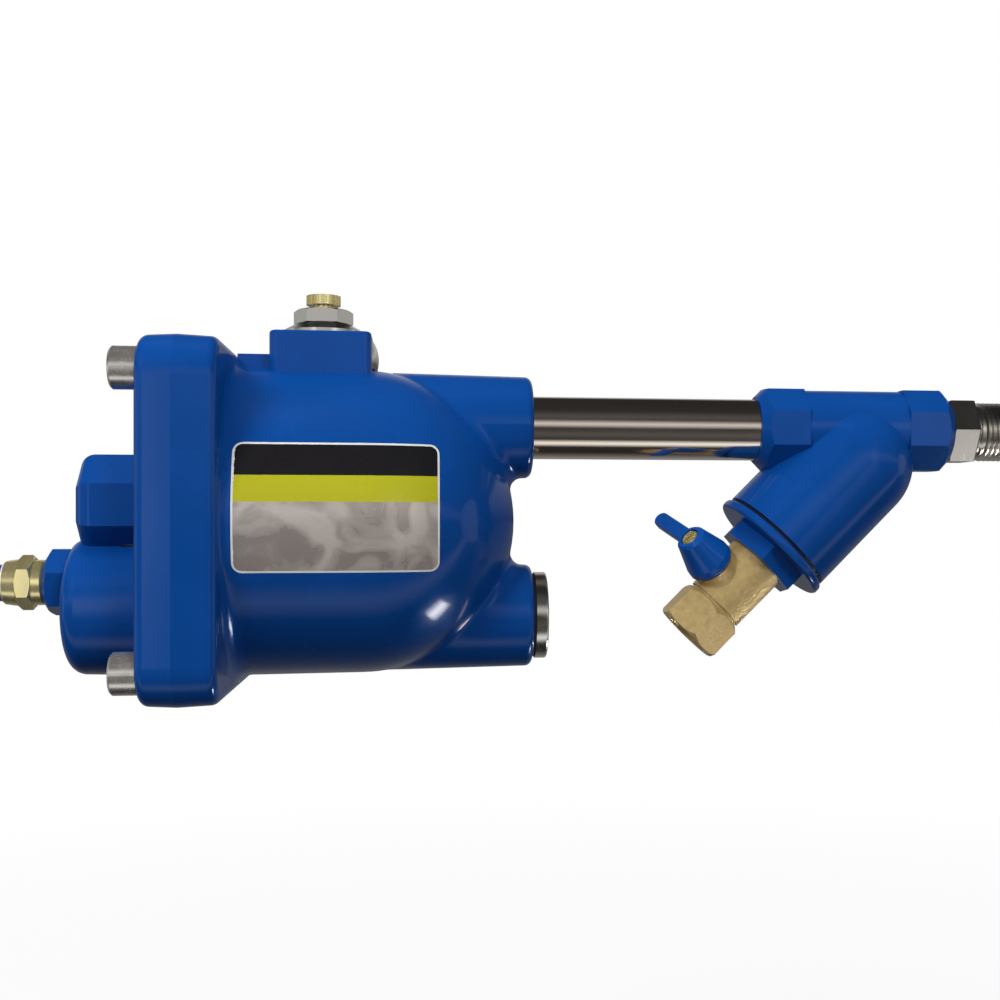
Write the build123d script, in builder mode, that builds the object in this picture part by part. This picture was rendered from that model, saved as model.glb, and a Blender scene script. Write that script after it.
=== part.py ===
from build123d import *
from math import cos, pi, radians, sin, sqrt, tan
import os

# Automatic drain valve for compressed-air condensate: a float chamber with a bolted cover, fed through
# a pipe and a Y-strainer that carries its own blow-down ball valve, and emptied through a lever-worked
# valve in the cover. Millimetres. Origin: centre of the inlet thread's outer end. +X points out of the
# inlet, +Z is up, and the label side of the chamber faces -Y. All axes lie in the plane Y = 0.

os.makedirs("parts", exist_ok=True)

# ------------------------------------------------------------------ clearances
THREAD_GAP = 0.05  # radial gap of a screwed joint, which is drawn without its thread
RUNNING_GAP = 0.06  # radial gap of a pin, plunger or stem that moves in its hole
SIDE_GAP = 0.4  # gap beside a part that swings
END_GAP = 1.0  # space beyond the end of a screwed-in piece
SHORT_END_GAP = 0.5  # the same for the small threads of the outlet
OVERLAP = 1.0  # how far a form runs into the one that it joins

# ------------------------------------------------------------------ inlet line, from the open end inwards
INLET_THREAD_R = 10.4
INLET_THREAD_LENGTH = 13.3
NIPPLE_HEX_AF = 21.5
NIPPLE_HEX_LENGTH = 9.6
NIPPLE_BORE_R = 7.5
NIPPLE_INSERT = 12.0

STRAINER_LENGTH = 68.9
STRAINER_END_AF = 28.2
STRAINER_RIGHT_END = 17.0
STRAINER_LEFT_END = 16.3
STRAINER_ROUND_R = 14.0
STRAINER_PORT_R = 8.0
STRAINER_THREAD_DEPTH = 13.0
STRAINER_CHAMFER = 3.6  # length of the turned corners at each end
NIPPLE_RELIEF_R = 9.6  # root of the thread's run-out, beside the hexagon
NIPPLE_RELIEF = 1.5

PIPE_R = 10.65
PIPE_BORE_R = 8.1
PIPE_LENGTH = 100.8
PIPE_INSERT = 11.15
PIPE_EDGE = 0.8

# ------------------------------------------------------------- strainer branch, measured from the inlet axis
BRANCH_ANGLE = 45.0
BRANCH_BACK = 45.1  # from the nipple thread's end to the point where the branch axis leaves the inlet axis
BRANCH_R = 21.3
BRANCH_BORE_R = 15.0
BRANCH_DOME = 16.4  # where the branch's round shoulder is centred
BRANCH_END = 54.9
CAP_COLLAR_R = 22.2
CAP_COLLAR = 4.5
CAP_HEX_AF = 28.0
CAP_HEX = 6.2
CAP_HEX_TURN = 8.0  # how far the hexagon's front corner is turned up
CAP_EDGE = 1.2
CAP_SPIGOT = 8.0
CAP_GASKET = 1.2
CAP_GASKET_INSET = 1.4
SCREEN_R = 12.0
SCREEN_WALL = 0.8
SCREEN_TOP = 13.0
SCREEN_SEAT = 4.0  # length of the bore that centres the screen
SCREEN_LEDGE = 2.0
SCREEN_ROWS = 4
SCREEN_SLOT = 3.0

# ------------------------------------------------------------------ blow-down ball valve
VALVE_SPIGOT_R = 8.2
VALVE_SPIGOT = 8.0
BARREL_R = 10.8
BARREL_END_R = 10.6
BARREL_LENGTH = 20.5
VALVE_PORT_R = 4.5
VALVE_GROOVE = 1.0
VALVE_GROOVE_R = 9.6
VALVE_HEX_AF = 22.0
VALVE_HEX = 13.4
VALVE_HEX_CHAMFER = 2.0
VALVE_HEX_EDGE = 1.2
VALVE_HEX_START_R = 10.6
VALVE_HEX_END_R = 11.2
OUTLET_THREAD_R = 8.33
OUTLET_THREAD_DEPTH = 10.0
STEM_STATION = 77.6
STEM_TILT = 27.0  # how far the stem leans out of the plane of the pipes, towards -Y
BALL_R = 6.8
BALL_PORT_R = 4.0
SEAT_INNER_R = 4.6
SEAT_LENGTH = 3.0
SEAT_OFFSET = 4.08  # from the ball's centre to the near face of each seat ring
BALL_CAVITY_R = 7.9
END_SPIGOT_R = 9.4
END_SPIGOT = 3.0
STEM_R = 3.0
STEM_TONGUE = 2.0  # thickness of the stem's tongue in the ball's slot
STEM_TONGUE_WIDTH = 4.6
STEM_TONGUE_LENGTH = 2.2
STEM_START = 0.3  # from the ball to the round part of the stem
BALL_SLOT = 1.8
SLOT_END_GAP = 0.1
STEM_BOSS_R = 7.4
STEM_BOSS_TOP = 12.9
STEM_BOSS_ROOT = 1.0
PACKING_R = 5.0
PACKING_LENGTH = 2.6
GLAND_SPIGOT = 1.0
GLAND_TOP = 16.4
GLAND_AF = 11.2
HANDLE_BASE = 13.2
HANDLE_TOP = 28.0
HANDLE_BASE_R = 8.25
HANDLE_TOP_R = 5.2
HANDLE_RIM = 3.6  # height of the nearly upright rim of the skirt
HANDLE_RIM_TAPER = 0.15
HANDLE_EDGE = 0.9
HANDLE_TOP_EDGE = 1.0
HANDLE_WALL = 1.5
HANDLE_ROOF = 8.0
LEVER_REACH = 24.0
LEVER_WIDTH = 5.5
LEVER_THICKNESS = 4.2
LEVER_STEP = 0.3  # from the handle's top down to the lever's
LEVER_EDGE = 1.2
HANDLE_SCREW_R = 1.9
HANDLE_SCREW_HEAD_R = 2.9
HANDLE_SCREW = 3.1  # from the handle's top to the screw's end, where the stem begins
HANDLE_SCREW_EDGE = 0.6
HANDLE_SCREW_SLOT = 0.8
HANDLE_SCREW_CUT = 0.7
HANDLE_RECESS = 1.4

# ------------------------------------------------------------------ float chamber
INLET_RISE = 32.0  # inlet axis above the chamber axis
SUMP_DROP = 32.0  # sump boss below the chamber axis
CHAMBER_R = 51.0
DOME_DRAFT = 0.5  # how much smaller the dome is than the shell at the flange
CHAMBER_WALL = 6.0
DOME_BACK = 56.5  # dome centre behind the boss faces
BARREL_RUN = 40.3  # flange face to dome centre
BODY_FLANGE = 12.7
FLANGE_MARGIN = 5.0  # from the chamber's shell to the flange's edge
FLANGE_CORNER = 13.0
FLANGE_EDGE = 3.0
FLANGE_ROOT = 5.5
CAST_DRAFT = 3.0
BOSS_R = 17.2
BOSS_DRAFT = 1.0
BOSS_EDGE = 2.4
BOSS_ROOT = 4.0
BOSS_LENGTH = 58.0
PLUG_THREAD_R = 10.48
SUMP_THREAD_DEPTH = 13.0
SUMP_PLUG_R = 14.65
SUMP_PLUG_HEAD = 4.0
SUMP_PLUG_EDGE = 0.8
SUMP_WASHER = 1.0
SUMP_WASHER_INSET = 0.5
SUMP_HEX_AF = 10.0
SUMP_HEX_DEPTH = 8.0

TOP_BACK = 13.1  # vent boss centre behind the dome centre
TOP_SIDE = 32.6
TOP_CORNER = 2.6
TOP_RISE = 61.9
TOP_EDGE = 1.2
RIB_WIDTH = 15.0
RIB_STEP = 7.0  # from the rib's top up to the vent boss's
VENT_COLLAR_R = 14.0
VENT_COLLAR = 4.0
VENT_RIM = 1.2
VENT_HEX_AF = 17.0
VENT_HEX = 4.6
VENT_STEP = 0.4  # ledge round the hexagon's flats
VENT_CHAMFER = 1.2
VENT_SHANK = 10.0
KNOB_R = 5.65
KNOB_DISC = 3.2
KNOB_LIFT = 1.7
KNOB_NECK_R = 3.3
KNOB_TEETH = 32
KNOB_GROOVE = 0.5
NEEDLE_R = 2.2
NEEDLE_POINT = 1.54
SIDE_PLUG_R = 6.8
SIDE_PLUG_DOME = 2.0
SIDE_PLUG_DROP = 7.9  # from the vent boss's top down to the side plug's middle
SIDE_PLUG_THREAD_R = 4.8
SIDE_PLUG_THREAD = 4.6

# ------------------------------------------------------------------ cover
COVER_FLANGE = 10.9
SPIGOT = 3.0
O_RING_R = 1.5
O_RING_EASE = 0.02  # keeps the ring's surface off the groove's walls
O_RING_MARGIN = 4.0  # from the chamber's bore out to the ring's middle
SCREW_INSET = 10.6  # from the flange's edge to the screws
SCREW_EDGE = 0.7
SCREW_R = 4.0
SCREW_HEAD_R = 6.5
SCREW_HEAD = 8.0
SCREW_REACH = 9.6
SCREW_HEX_AF = 6.0
BULGE_DRAFT = 1.5  # how much smaller the bulge is at its face than at the flange
SUMP_BULGE_R = 22.8
SUMP_BULGE_DROP = 28.0
SUMP_BULGE = 29.7
SUMP_BULGE_EDGE = 5.2
LINK_BOSS_AF = 32.8
LINK_BOSS_RISE = 5.2
LINK_BOSS = 26.1
LINK_BOSS_EDGE = 5.0
POCKET_WALL = 5.1
LINK_POCKET_WALL = 4.1
POCKET_FLOOR = 17.2  # left behind the pocket at the bulge's end face
POCKET_HALF_WIDTH = 10.6

# ------------------------------------------------------------------ outlet
OUTLET_DROP = 20.0
ADAPTER_HEX_AF = 19.4
ADAPTER_HEX = 8.1
ADAPTER_CHAMFER = 2.2
ADAPTER_TURN = 18.0  # how far the hexagon's front corner is turned up
ADAPTER_THREAD_R = 6.5
ADAPTER_THREAD = 7.0
FITTING_THREAD_R = 4.8
FITTING_THREAD = 5.0
FITTING_COLLAR_R = 7.4
FITTING_COLLAR = 3.6
FITTING_HEX_AF = 15.6
FITTING_HEX = 4.8
FITTING_NOSE_R = 7.7
FITTING_NOSE_END_R = 7.1
FITTING_NOSE = 4.2
FITTING_CHAMFER = 0.8
FITTING_BORE_R = 3.2
HOSE_R = 6.0
HOSE_BORE_R = 4.0
HOSE_INSERT = 8.0
COLLET_WALL = 0.7
COLLET_DEPTH = 2.4
COLLET_LIP = 0.5

# ------------------------------------------------------------------ float and lever-worked valve
SEAT_THREAD_R = 5.0
SEAT_THREAD = 5.0
SEAT_FLANGE_R = 8.0
SEAT_FLANGE = 3.0
SEAT_NOSE_R = 3.2
SEAT_NOSE = 2.5
SEAT_BORE_R = 1.6
CAGE = 9.0
CAGE_WINDOW = 4.0
PLUNGER_R = 5.5
PAD_R = 4.0
PAD = 2.0
PAD_INSET = 1.5
PLUNGER = 5.5
TONGUE = 8.5
TONGUE_WIDTH = 4.0
LINK_ARM = 15.6
LINK_PIN_R = 1.5
LINK_PIN_LENGTH = 11.0
LINK_SLOT_PLAY = 0.12
LEVER_HUB_R = 4.2
LEVER_HUB_LENGTH = 14.0
LEVER_CHEEK = 2.4
LEVER_CHEEK_WIDTH = 6.4
PIVOT_PIN_R = 2.0
PIVOT_HEAD_R = 3.2
PIVOT_HEAD = 1.0
CLIP = 0.8
FLOAT_R = 29.0
FLOAT_GAP = 6.9  # from the float to the inside of the dome
FLOAT_DROP = 6.0
FLOAT_NECK_R = 4.0
FLOAT_NECK = 3.0
FLOAT_ROD_R = 2.0
BRACKET_PLATE = 2.0
BRACKET_WIDTH = 17.6
BRACKET_HEIGHT = 13.0
BRACKET_RISE = 4.0
BRACKET_SCREW_R = 2.0
BRACKET_SCREW_HEAD_R = 3.4
BRACKET_SCREW_HEAD = 2.6
BRACKET_SCREW_REACH = 6.0
BRACKET_SCREW_SPREAD = 7.6

# ------------------------------------------------------------------ stations along X
NIPPLE_HEX_X = -INLET_THREAD_LENGTH
STRAINER_X = NIPPLE_HEX_X - NIPPLE_HEX_LENGTH
STRAINER_FAR_X = STRAINER_X - STRAINER_LENGTH
BOSS_X = STRAINER_FAR_X - PIPE_LENGTH + 2 * PIPE_INSERT
DOME_X = BOSS_X - DOME_BACK
FLANGE_X = DOME_X - BARREL_RUN
JOINT_X = FLANGE_X - BODY_FLANGE
COVER_X = JOINT_X - COVER_FLANGE
BULGE_X = JOINT_X - COVER_FLANGE - SUMP_BULGE
LINK_BOSS_X = COVER_X - LINK_BOSS
POCKET_X = BULGE_X + POCKET_FLOOR
TOP_X = DOME_X - TOP_BACK
TOP_FACE_X = TOP_X + TOP_SIDE / 2
ADAPTER_X = BULGE_X - ADAPTER_HEX
NOSE_X = ADAPTER_X - FITTING_COLLAR - FITTING_HEX - FITTING_NOSE

# ------------------------------------------------------------------ heights and derived sizes
CHAMBER_Z = -INLET_RISE
SUMP_Z = CHAMBER_Z - SUMP_DROP
TOP_Z = CHAMBER_Z + TOP_RISE
SIDE_PLUG_Z = CHAMBER_Z + TOP_RISE - SIDE_PLUG_DROP
OUTLET_Z = CHAMBER_Z - OUTLET_DROP
BULGE_Z = CHAMBER_Z - SUMP_BULGE_DROP
LINK_BOSS_Z = CHAMBER_Z + LINK_BOSS_RISE
CAVITY_R = CHAMBER_R - CHAMBER_WALL
DOME_R = CHAMBER_R - DOME_DRAFT
INNER_DOME_R = DOME_R - CHAMBER_WALL
FLANGE_SIDE = 2 * (CHAMBER_R + FLANGE_MARGIN)
SCREW_PITCH = FLANGE_SIDE - 2 * SCREW_INSET
RIB_RISE = TOP_RISE - RIB_STEP
O_RING_CIRCLE_R = CAVITY_R + O_RING_MARGIN

# ------------------------------------------------------------------ lever-worked valve
LIP_X = POCKET_X + SEAT_FLANGE + SEAT_NOSE
CUP_X = LIP_X + PAD - PAD_INSET
PLUNGER_END_X = CUP_X + PLUNGER
PIVOT_X = PLUNGER_END_X + TONGUE - LINK_PIN_R * 2
PIVOT_Z = OUTLET_Z + LINK_ARM
FLOAT_X = DOME_X + INNER_DOME_R - FLOAT_GAP - FLOAT_R
FLOAT_REACH = FLOAT_X - PIVOT_X
FLOAT_Z = PIVOT_Z - FLOAT_DROP
BRACKET_Z = PIVOT_Z + BRACKET_RISE + BRACKET_HEIGHT / 2
EAR_Y = BRACKET_WIDTH / 2

# ------------------------------------------------------------------ planes and axes
BRANCH_DIR = Vector(-cos(radians(BRANCH_ANGLE)), 0, -sin(radians(BRANCH_ANGLE)))
BRANCH_SIDE = Vector(-sin(radians(BRANCH_ANGLE)), 0, cos(radians(BRANCH_ANGLE)))
BRANCH_START = Vector(-BRANCH_BACK, 0, 0)
STEM_DIR = BRANCH_SIDE * cos(radians(STEM_TILT)) - Vector(0, 1, 0) * sin(radians(STEM_TILT))
LEVER_DIR = BRANCH_SIDE * sin(radians(STEM_TILT)) + Vector(0, 1, 0) * cos(radians(STEM_TILT))
BALL_CENTRE = BRANCH_START + BRANCH_DIR * STEM_STATION
CAP_END = BRANCH_END + CAP_COLLAR + CAP_HEX
BARREL_STOP = CAP_END + BARREL_LENGTH
VALVE_END = BARREL_STOP + VALVE_GROOVE + VALVE_HEX


def line_plane(height):
    """Upright plane through the pipes' axes: local x runs along +X, local y is the height above `height`."""
    return Plane(origin=(0, 0, height), x_dir=(1, 0, 0), z_dir=(0, -1, 0))


def across(x, height=0.0, facing=1):
    """Plane square to the X axis at x, facing +X (1) or -X (-1), with local y up."""
    return Plane(origin=(x, 0, height), x_dir=(0, facing, 0), z_dir=(facing, 0, 0))


def along_branch(distance):
    """Plane square to the strainer's branch at a distance from the inlet axis, facing its open end."""
    return Plane(origin=BRANCH_START + BRANCH_DIR * distance, x_dir=(0, -1, 0), z_dir=BRANCH_DIR)


def along_stem(distance):
    """Plane square to the ball valve's stem at a distance from the ball's centre, its x along the lever."""
    return Plane(origin=BALL_CENTRE + STEM_DIR * distance, x_dir=LEVER_DIR, z_dir=STEM_DIR)


INLET_LINE = line_plane(0)
CHAMBER_LINE = line_plane(CHAMBER_Z)
SUMP_LINE = line_plane(SUMP_Z)
OUTLET_LINE = line_plane(OUTLET_Z)
BRANCH_LINE = Plane(origin=BRANCH_START, x_dir=BRANCH_DIR, z_dir=(0, -1, 0))
STEM_LINE = Plane(origin=BALL_CENTRE, x_dir=STEM_DIR, z_dir=LEVER_DIR)
INLET_AXIS = Axis(INLET_LINE.origin, INLET_LINE.x_dir)
CHAMBER_AXIS = Axis(CHAMBER_LINE.origin, CHAMBER_LINE.x_dir)
SUMP_AXIS = Axis(SUMP_LINE.origin, SUMP_LINE.x_dir)
OUTLET_AXIS = Axis(OUTLET_LINE.origin, OUTLET_LINE.x_dir)
BRANCH_AXIS = Axis(BRANCH_LINE.origin, BRANCH_LINE.x_dir)
STEM_AXIS = Axis(STEM_LINE.origin, STEM_LINE.x_dir)
VENT_AXIS = Axis((TOP_X, 0, 0), (0, 0, 1))


def across_corners(across_flats, sides=6):
    """Corner radius of a regular polygon from its size across flats."""
    return across_flats / 2 / cos(radians(180 / sides))


def write(part, name):
    """Names a finished piece and writes its STEP file."""
    part.label = name
    export_step(part, f"parts/{name}.step")


# ================================================================== chamber
def make_chamber_body():
    """Cast chamber: square flange, round shell with a domed end, inlet, sump and vent bosses, and a rib."""
    with BuildPart() as body:
        with BuildSketch(across(JOINT_X, CHAMBER_Z)):
            RectangleRounded(FLANGE_SIDE, FLANGE_SIDE, FLANGE_CORNER)
        extrude(amount=BODY_FLANGE, taper=CAST_DRAFT)
        fillet(body.faces().sort_by(Axis.X)[-1].edges(), FLANGE_EDGE)

        with BuildSketch(CHAMBER_LINE):
            with BuildLine():
                Polyline((DOME_X + DOME_R, 0), (JOINT_X, 0), (JOINT_X, CHAMBER_R), (DOME_X, DOME_R))
                CenterArc((DOME_X, 0), DOME_R, 0, 90)
            make_face()
        revolve(axis=CHAMBER_AXIS)
        fillet(body.edges(Select.NEW), FLANGE_ROOT)

        for height in (0, SUMP_Z):
            with BuildSketch(across(BOSS_X, height, -1)):
                Circle(BOSS_R)
            extrude(amount=BOSS_LENGTH, taper=-BOSS_DRAFT)
            fillet(body.edges(Select.NEW).filter_by(GeomType.BSPLINE), BOSS_ROOT)
        ends = body.faces().filter_by_position(Axis.X, BOSS_X - 0.1, BOSS_X + 0.1)
        fillet(ends.edges(), BOSS_EDGE)

        with BuildSketch(Plane.XY.offset(CHAMBER_Z)):
            with Locations(((FLANGE_X + TOP_X) / 2, 0)):
                Rectangle(TOP_X - FLANGE_X, RIB_WIDTH)
        extrude(amount=RIB_RISE)
        with BuildSketch(Plane.XY.offset(CHAMBER_Z)):
            with Locations((TOP_X, 0)):
                RectangleRounded(TOP_SIDE, TOP_SIDE, TOP_CORNER)
        extrude(amount=TOP_RISE)
        fillet(body.faces().sort_by(Axis.Z)[-1].edges(), TOP_EDGE)

        # the hollow, and the passages into it
        with BuildSketch(CHAMBER_LINE):
            with BuildLine():
                Polyline((DOME_X + INNER_DOME_R, 0), (JOINT_X, 0), (JOINT_X, CAVITY_R),
                         (DOME_X, INNER_DOME_R))
                CenterArc((DOME_X, 0), INNER_DOME_R, 0, 90)
            make_face()
        revolve(axis=CHAMBER_AXIS, mode=Mode.SUBTRACT)
        for height, thread_r, depth in (
            (0, PIPE_R, PIPE_INSERT + END_GAP),
            (SUMP_Z, PLUG_THREAD_R, SUMP_THREAD_DEPTH),
        ):
            with BuildSketch(across(BOSS_X, height, -1)):
                Circle(thread_r + THREAD_GAP)
            extrude(amount=depth, mode=Mode.SUBTRACT)
            with BuildSketch(across(BOSS_X, height, -1)):
                Circle(PIPE_BORE_R)
            extrude(amount=DOME_BACK, mode=Mode.SUBTRACT)
        with BuildSketch(Plane.XY.offset(TOP_Z)):
            with Locations((TOP_X, 0)):
                Circle(PLUG_THREAD_R + THREAD_GAP)
        extrude(amount=-VENT_SHANK - END_GAP, mode=Mode.SUBTRACT)
        with BuildSketch(Plane.XY.offset(TOP_Z)):
            with Locations((TOP_X, 0)):
                Circle(NEEDLE_R + END_GAP)
        extrude(amount=-CHAMBER_R / 2, mode=Mode.SUBTRACT)

        # side port: a seat for the plug's head, cut a little into the dome, and its tapped hole
        with BuildSketch(across(TOP_FACE_X, SIDE_PLUG_Z)):
            Circle(SIDE_PLUG_R + THREAD_GAP)
        extrude(amount=SIDE_PLUG_R, mode=Mode.SUBTRACT)
        with BuildSketch(across(TOP_FACE_X, SIDE_PLUG_Z)):
            Circle(SIDE_PLUG_THREAD_R + THREAD_GAP)
        extrude(amount=-SIDE_PLUG_THREAD - END_GAP, mode=Mode.SUBTRACT)

        with BuildSketch(across(JOINT_X, CHAMBER_Z)):
            with GridLocations(SCREW_PITCH, SCREW_PITCH, 2, 2):
                Circle(SCREW_R + THREAD_GAP)
        extrude(amount=SCREW_REACH + END_GAP, mode=Mode.SUBTRACT)
    write(body.part, "chamber_body")


def make_cover():
    """Cast cover: square flange, round bulge over the drain valve, eight-sided boss over the pivot."""
    with BuildPart() as cover:
        with BuildSketch(across(JOINT_X, CHAMBER_Z, -1)):
            RectangleRounded(FLANGE_SIDE, FLANGE_SIDE, FLANGE_CORNER)
        extrude(amount=COVER_FLANGE, taper=CAST_DRAFT)
        fillet(cover.faces().sort_by(Axis.X)[0].edges(), FLANGE_EDGE)

        with BuildSketch(across(COVER_X, LINK_BOSS_Z, -1)):
            RegularPolygon(LINK_BOSS_AF / 2, 8, major_radius=False, rotation=22.5)
        extrude(amount=LINK_BOSS)
        fillet(cover.faces().sort_by(Axis.X)[0].edges(), LINK_BOSS_EDGE)
        with BuildSketch(across(COVER_X, BULGE_Z, -1)):
            Circle(SUMP_BULGE_R)
        extrude(amount=SUMP_BULGE, taper=BULGE_DRAFT)
        fillet(cover.faces().sort_by(Axis.X)[0].edges(), SUMP_BULGE_EDGE)

        with BuildSketch(across(JOINT_X, CHAMBER_Z)):
            Circle(CAVITY_R - SIDE_GAP)
        extrude(amount=SPIGOT)
        with BuildSketch(across(JOINT_X, CHAMBER_Z, -1)):
            Circle(O_RING_CIRCLE_R + O_RING_R)
            Circle(O_RING_CIRCLE_R - O_RING_R, mode=Mode.SUBTRACT)
        extrude(amount=2 * O_RING_R, mode=Mode.SUBTRACT)

        # pocket for the lever and the drain valve, open to the chamber
        with BuildSketch(across(POCKET_X, CHAMBER_Z)):
            with Locations((0, -SUMP_BULGE_DROP)):
                Circle(SUMP_BULGE_R - POCKET_WALL)
            with Locations((0, LINK_BOSS_RISE)):
                Circle(LINK_BOSS_AF / 2 - LINK_POCKET_WALL)
            with Locations((0, (LINK_BOSS_RISE - SUMP_BULGE_DROP) / 2)):
                Rectangle(2 * POCKET_HALF_WIDTH, LINK_BOSS_RISE + SUMP_BULGE_DROP)
        extrude(amount=JOINT_X + SPIGOT - POCKET_X, mode=Mode.SUBTRACT)

        # outlet passage: seat thread inside, adapter thread outside
        with BuildSketch(across(POCKET_X, OUTLET_Z, -1)):
            Circle(SEAT_THREAD_R + THREAD_GAP)
        extrude(amount=SEAT_THREAD, mode=Mode.SUBTRACT)
        with BuildSketch(across(POCKET_X, OUTLET_Z, -1)):
            Circle(SEAT_BORE_R + END_GAP)
        extrude(amount=POCKET_FLOOR, mode=Mode.SUBTRACT)
        with BuildSketch(across(BULGE_X, OUTLET_Z)):
            Circle(ADAPTER_THREAD_R + THREAD_GAP)
        extrude(amount=ADAPTER_THREAD + SHORT_END_GAP, mode=Mode.SUBTRACT)

        with BuildSketch(across(COVER_X - OVERLAP, CHAMBER_Z)):
            with GridLocations(SCREW_PITCH, SCREW_PITCH, 2, 2):
                Circle(SCREW_R + SIDE_GAP)
        extrude(amount=COVER_FLANGE + OVERLAP, mode=Mode.SUBTRACT)
        with BuildSketch(across(POCKET_X, BRACKET_Z, -1)):
            with GridLocations(BRACKET_SCREW_SPREAD, 0, 2, 1):
                Circle(BRACKET_SCREW_R + THREAD_GAP)
        extrude(amount=BRACKET_SCREW_REACH - BRACKET_PLATE + SHORT_END_GAP, mode=Mode.SUBTRACT)
    write(cover.part, "cover")


def make_cover_o_ring():
    """O-ring in the cover's face groove, drawn at its squeezed height."""
    with BuildPart() as ring:
        with BuildSketch(CHAMBER_LINE):
            with Locations((JOINT_X - O_RING_R, O_RING_CIRCLE_R)):
                Circle(O_RING_R - O_RING_EASE)
        revolve(axis=CHAMBER_AXIS)
    write(ring.part, "cover_o_ring")


def make_cover_screws():
    """Four socket-head cap screws that hold the cover to the chamber."""
    with BuildPart() as screws:
        with BuildSketch(across(COVER_X, CHAMBER_Z, -1)):
            with GridLocations(SCREW_PITCH, SCREW_PITCH, 2, 2):
                Circle(SCREW_HEAD_R)
        extrude(amount=SCREW_HEAD)
        outer_faces = screws.faces().group_by(Axis.X)[0]
        chamfer(outer_faces.edges(), SCREW_EDGE)
        with BuildSketch(across(COVER_X - SCREW_HEAD, CHAMBER_Z)):
            with GridLocations(SCREW_PITCH, SCREW_PITCH, 2, 2):
                RegularPolygon(SCREW_HEX_AF / 2, 6, major_radius=False)
        extrude(amount=SCREW_HEAD / 2, mode=Mode.SUBTRACT)
        with BuildSketch(across(COVER_X, CHAMBER_Z)):
            with GridLocations(SCREW_PITCH, SCREW_PITCH, 2, 2):
                Circle(SCREW_R)
        extrude(amount=COVER_FLANGE + SCREW_REACH)
    write(screws.part, "cover_screws")


# ================================================================== plugs and vent
def make_vent_plug():
    """Vent fitting: collar with a coned top, hexagon, shank, and the bore that the bleed needle works in."""
    hex_z = TOP_Z + VENT_COLLAR
    outside_x = TOP_X + across_corners(VENT_HEX_AF) + OVERLAP
    with BuildPart() as plug:
        with BuildSketch(Plane.XZ):
            with BuildLine():
                Polyline(
                    (TOP_X, TOP_Z - VENT_SHANK),
                    (TOP_X + PLUG_THREAD_R, TOP_Z - VENT_SHANK),
                    (TOP_X + PLUG_THREAD_R, TOP_Z),
                    (TOP_X + VENT_COLLAR_R, TOP_Z),
                    (TOP_X + VENT_COLLAR_R, TOP_Z + VENT_RIM),
                    (TOP_X + VENT_HEX_AF / 2 + VENT_STEP, hex_z),
                    (TOP_X, hex_z),
                    close=True,
                )
            make_face()
        revolve(axis=VENT_AXIS)
        with BuildSketch(Plane.XY.offset(hex_z)):
            with Locations((TOP_X, 0)):
                RegularPolygon(VENT_HEX_AF / 2, 6, major_radius=False)
        extrude(amount=VENT_HEX)
        with BuildSketch(Plane.XZ):
            with BuildLine():
                Polyline(
                    (TOP_X + VENT_HEX_AF / 2, hex_z + VENT_HEX),
                    (outside_x, hex_z + VENT_HEX),
                    (outside_x, hex_z + VENT_HEX - VENT_CHAMFER),
                    close=True,
                )
            make_face()
        revolve(axis=VENT_AXIS, mode=Mode.SUBTRACT)
        with BuildSketch(Plane.XY.offset(hex_z + VENT_HEX)):
            with Locations((TOP_X, 0)):
                Circle(NEEDLE_R + RUNNING_GAP)
        extrude(amount=-VENT_HEX - VENT_COLLAR - VENT_SHANK, mode=Mode.SUBTRACT)
    write(plug.part, "vent_plug")


def make_bleed_knob():
    """Knurled brass bleed screw: toothed disc, neck and needle in one piece."""
    neck_z = TOP_Z + VENT_COLLAR + VENT_HEX + SIDE_GAP / 2
    disc_z = neck_z + KNOB_LIFT - SIDE_GAP / 2
    with BuildPart() as knob:
        with BuildSketch(Plane.XY.offset(disc_z)):
            with Locations((TOP_X, 0)):
                Circle(KNOB_R)
            with Locations((TOP_X, 0)):
                with PolarLocations(KNOB_R, KNOB_TEETH):
                    Rectangle(KNOB_GROOVE, KNOB_GROOVE, mode=Mode.SUBTRACT)
        extrude(amount=KNOB_DISC)
        with BuildSketch(Plane.XY.offset(neck_z)):
            with Locations((TOP_X, 0)):
                Circle(KNOB_NECK_R)
        extrude(amount=KNOB_LIFT)
        with BuildSketch(Plane.XY.offset(neck_z)):
            with Locations((TOP_X, 0)):
                Circle(NEEDLE_R)
        extrude(amount=-VENT_HEX - VENT_COLLAR)
        chamfer(knob.faces().sort_by(Axis.Z)[0].edges(), NEEDLE_POINT)
    write(knob.part, "bleed_knob")


def make_side_plug():
    """Domed plug in the vent boss's side port."""
    with BuildPart() as plug:
        with BuildSketch(line_plane(SIDE_PLUG_Z)):
            with BuildLine():
                head = Polyline(
                    (TOP_FACE_X + SIDE_PLUG_DOME, 0),
                    (TOP_FACE_X - SIDE_PLUG_THREAD, 0),
                    (TOP_FACE_X - SIDE_PLUG_THREAD, SIDE_PLUG_THREAD_R),
                    (TOP_FACE_X, SIDE_PLUG_THREAD_R),
                    (TOP_FACE_X, SIDE_PLUG_R),
                )
                RadiusArc(head @ 1, head @ 0, (SIDE_PLUG_R**2 + SIDE_PLUG_DOME**2) / 2 / SIDE_PLUG_DOME)
            make_face()
        revolve(axis=Axis((0, 0, SIDE_PLUG_Z), (1, 0, 0)))
    write(plug.part, "side_plug")


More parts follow.
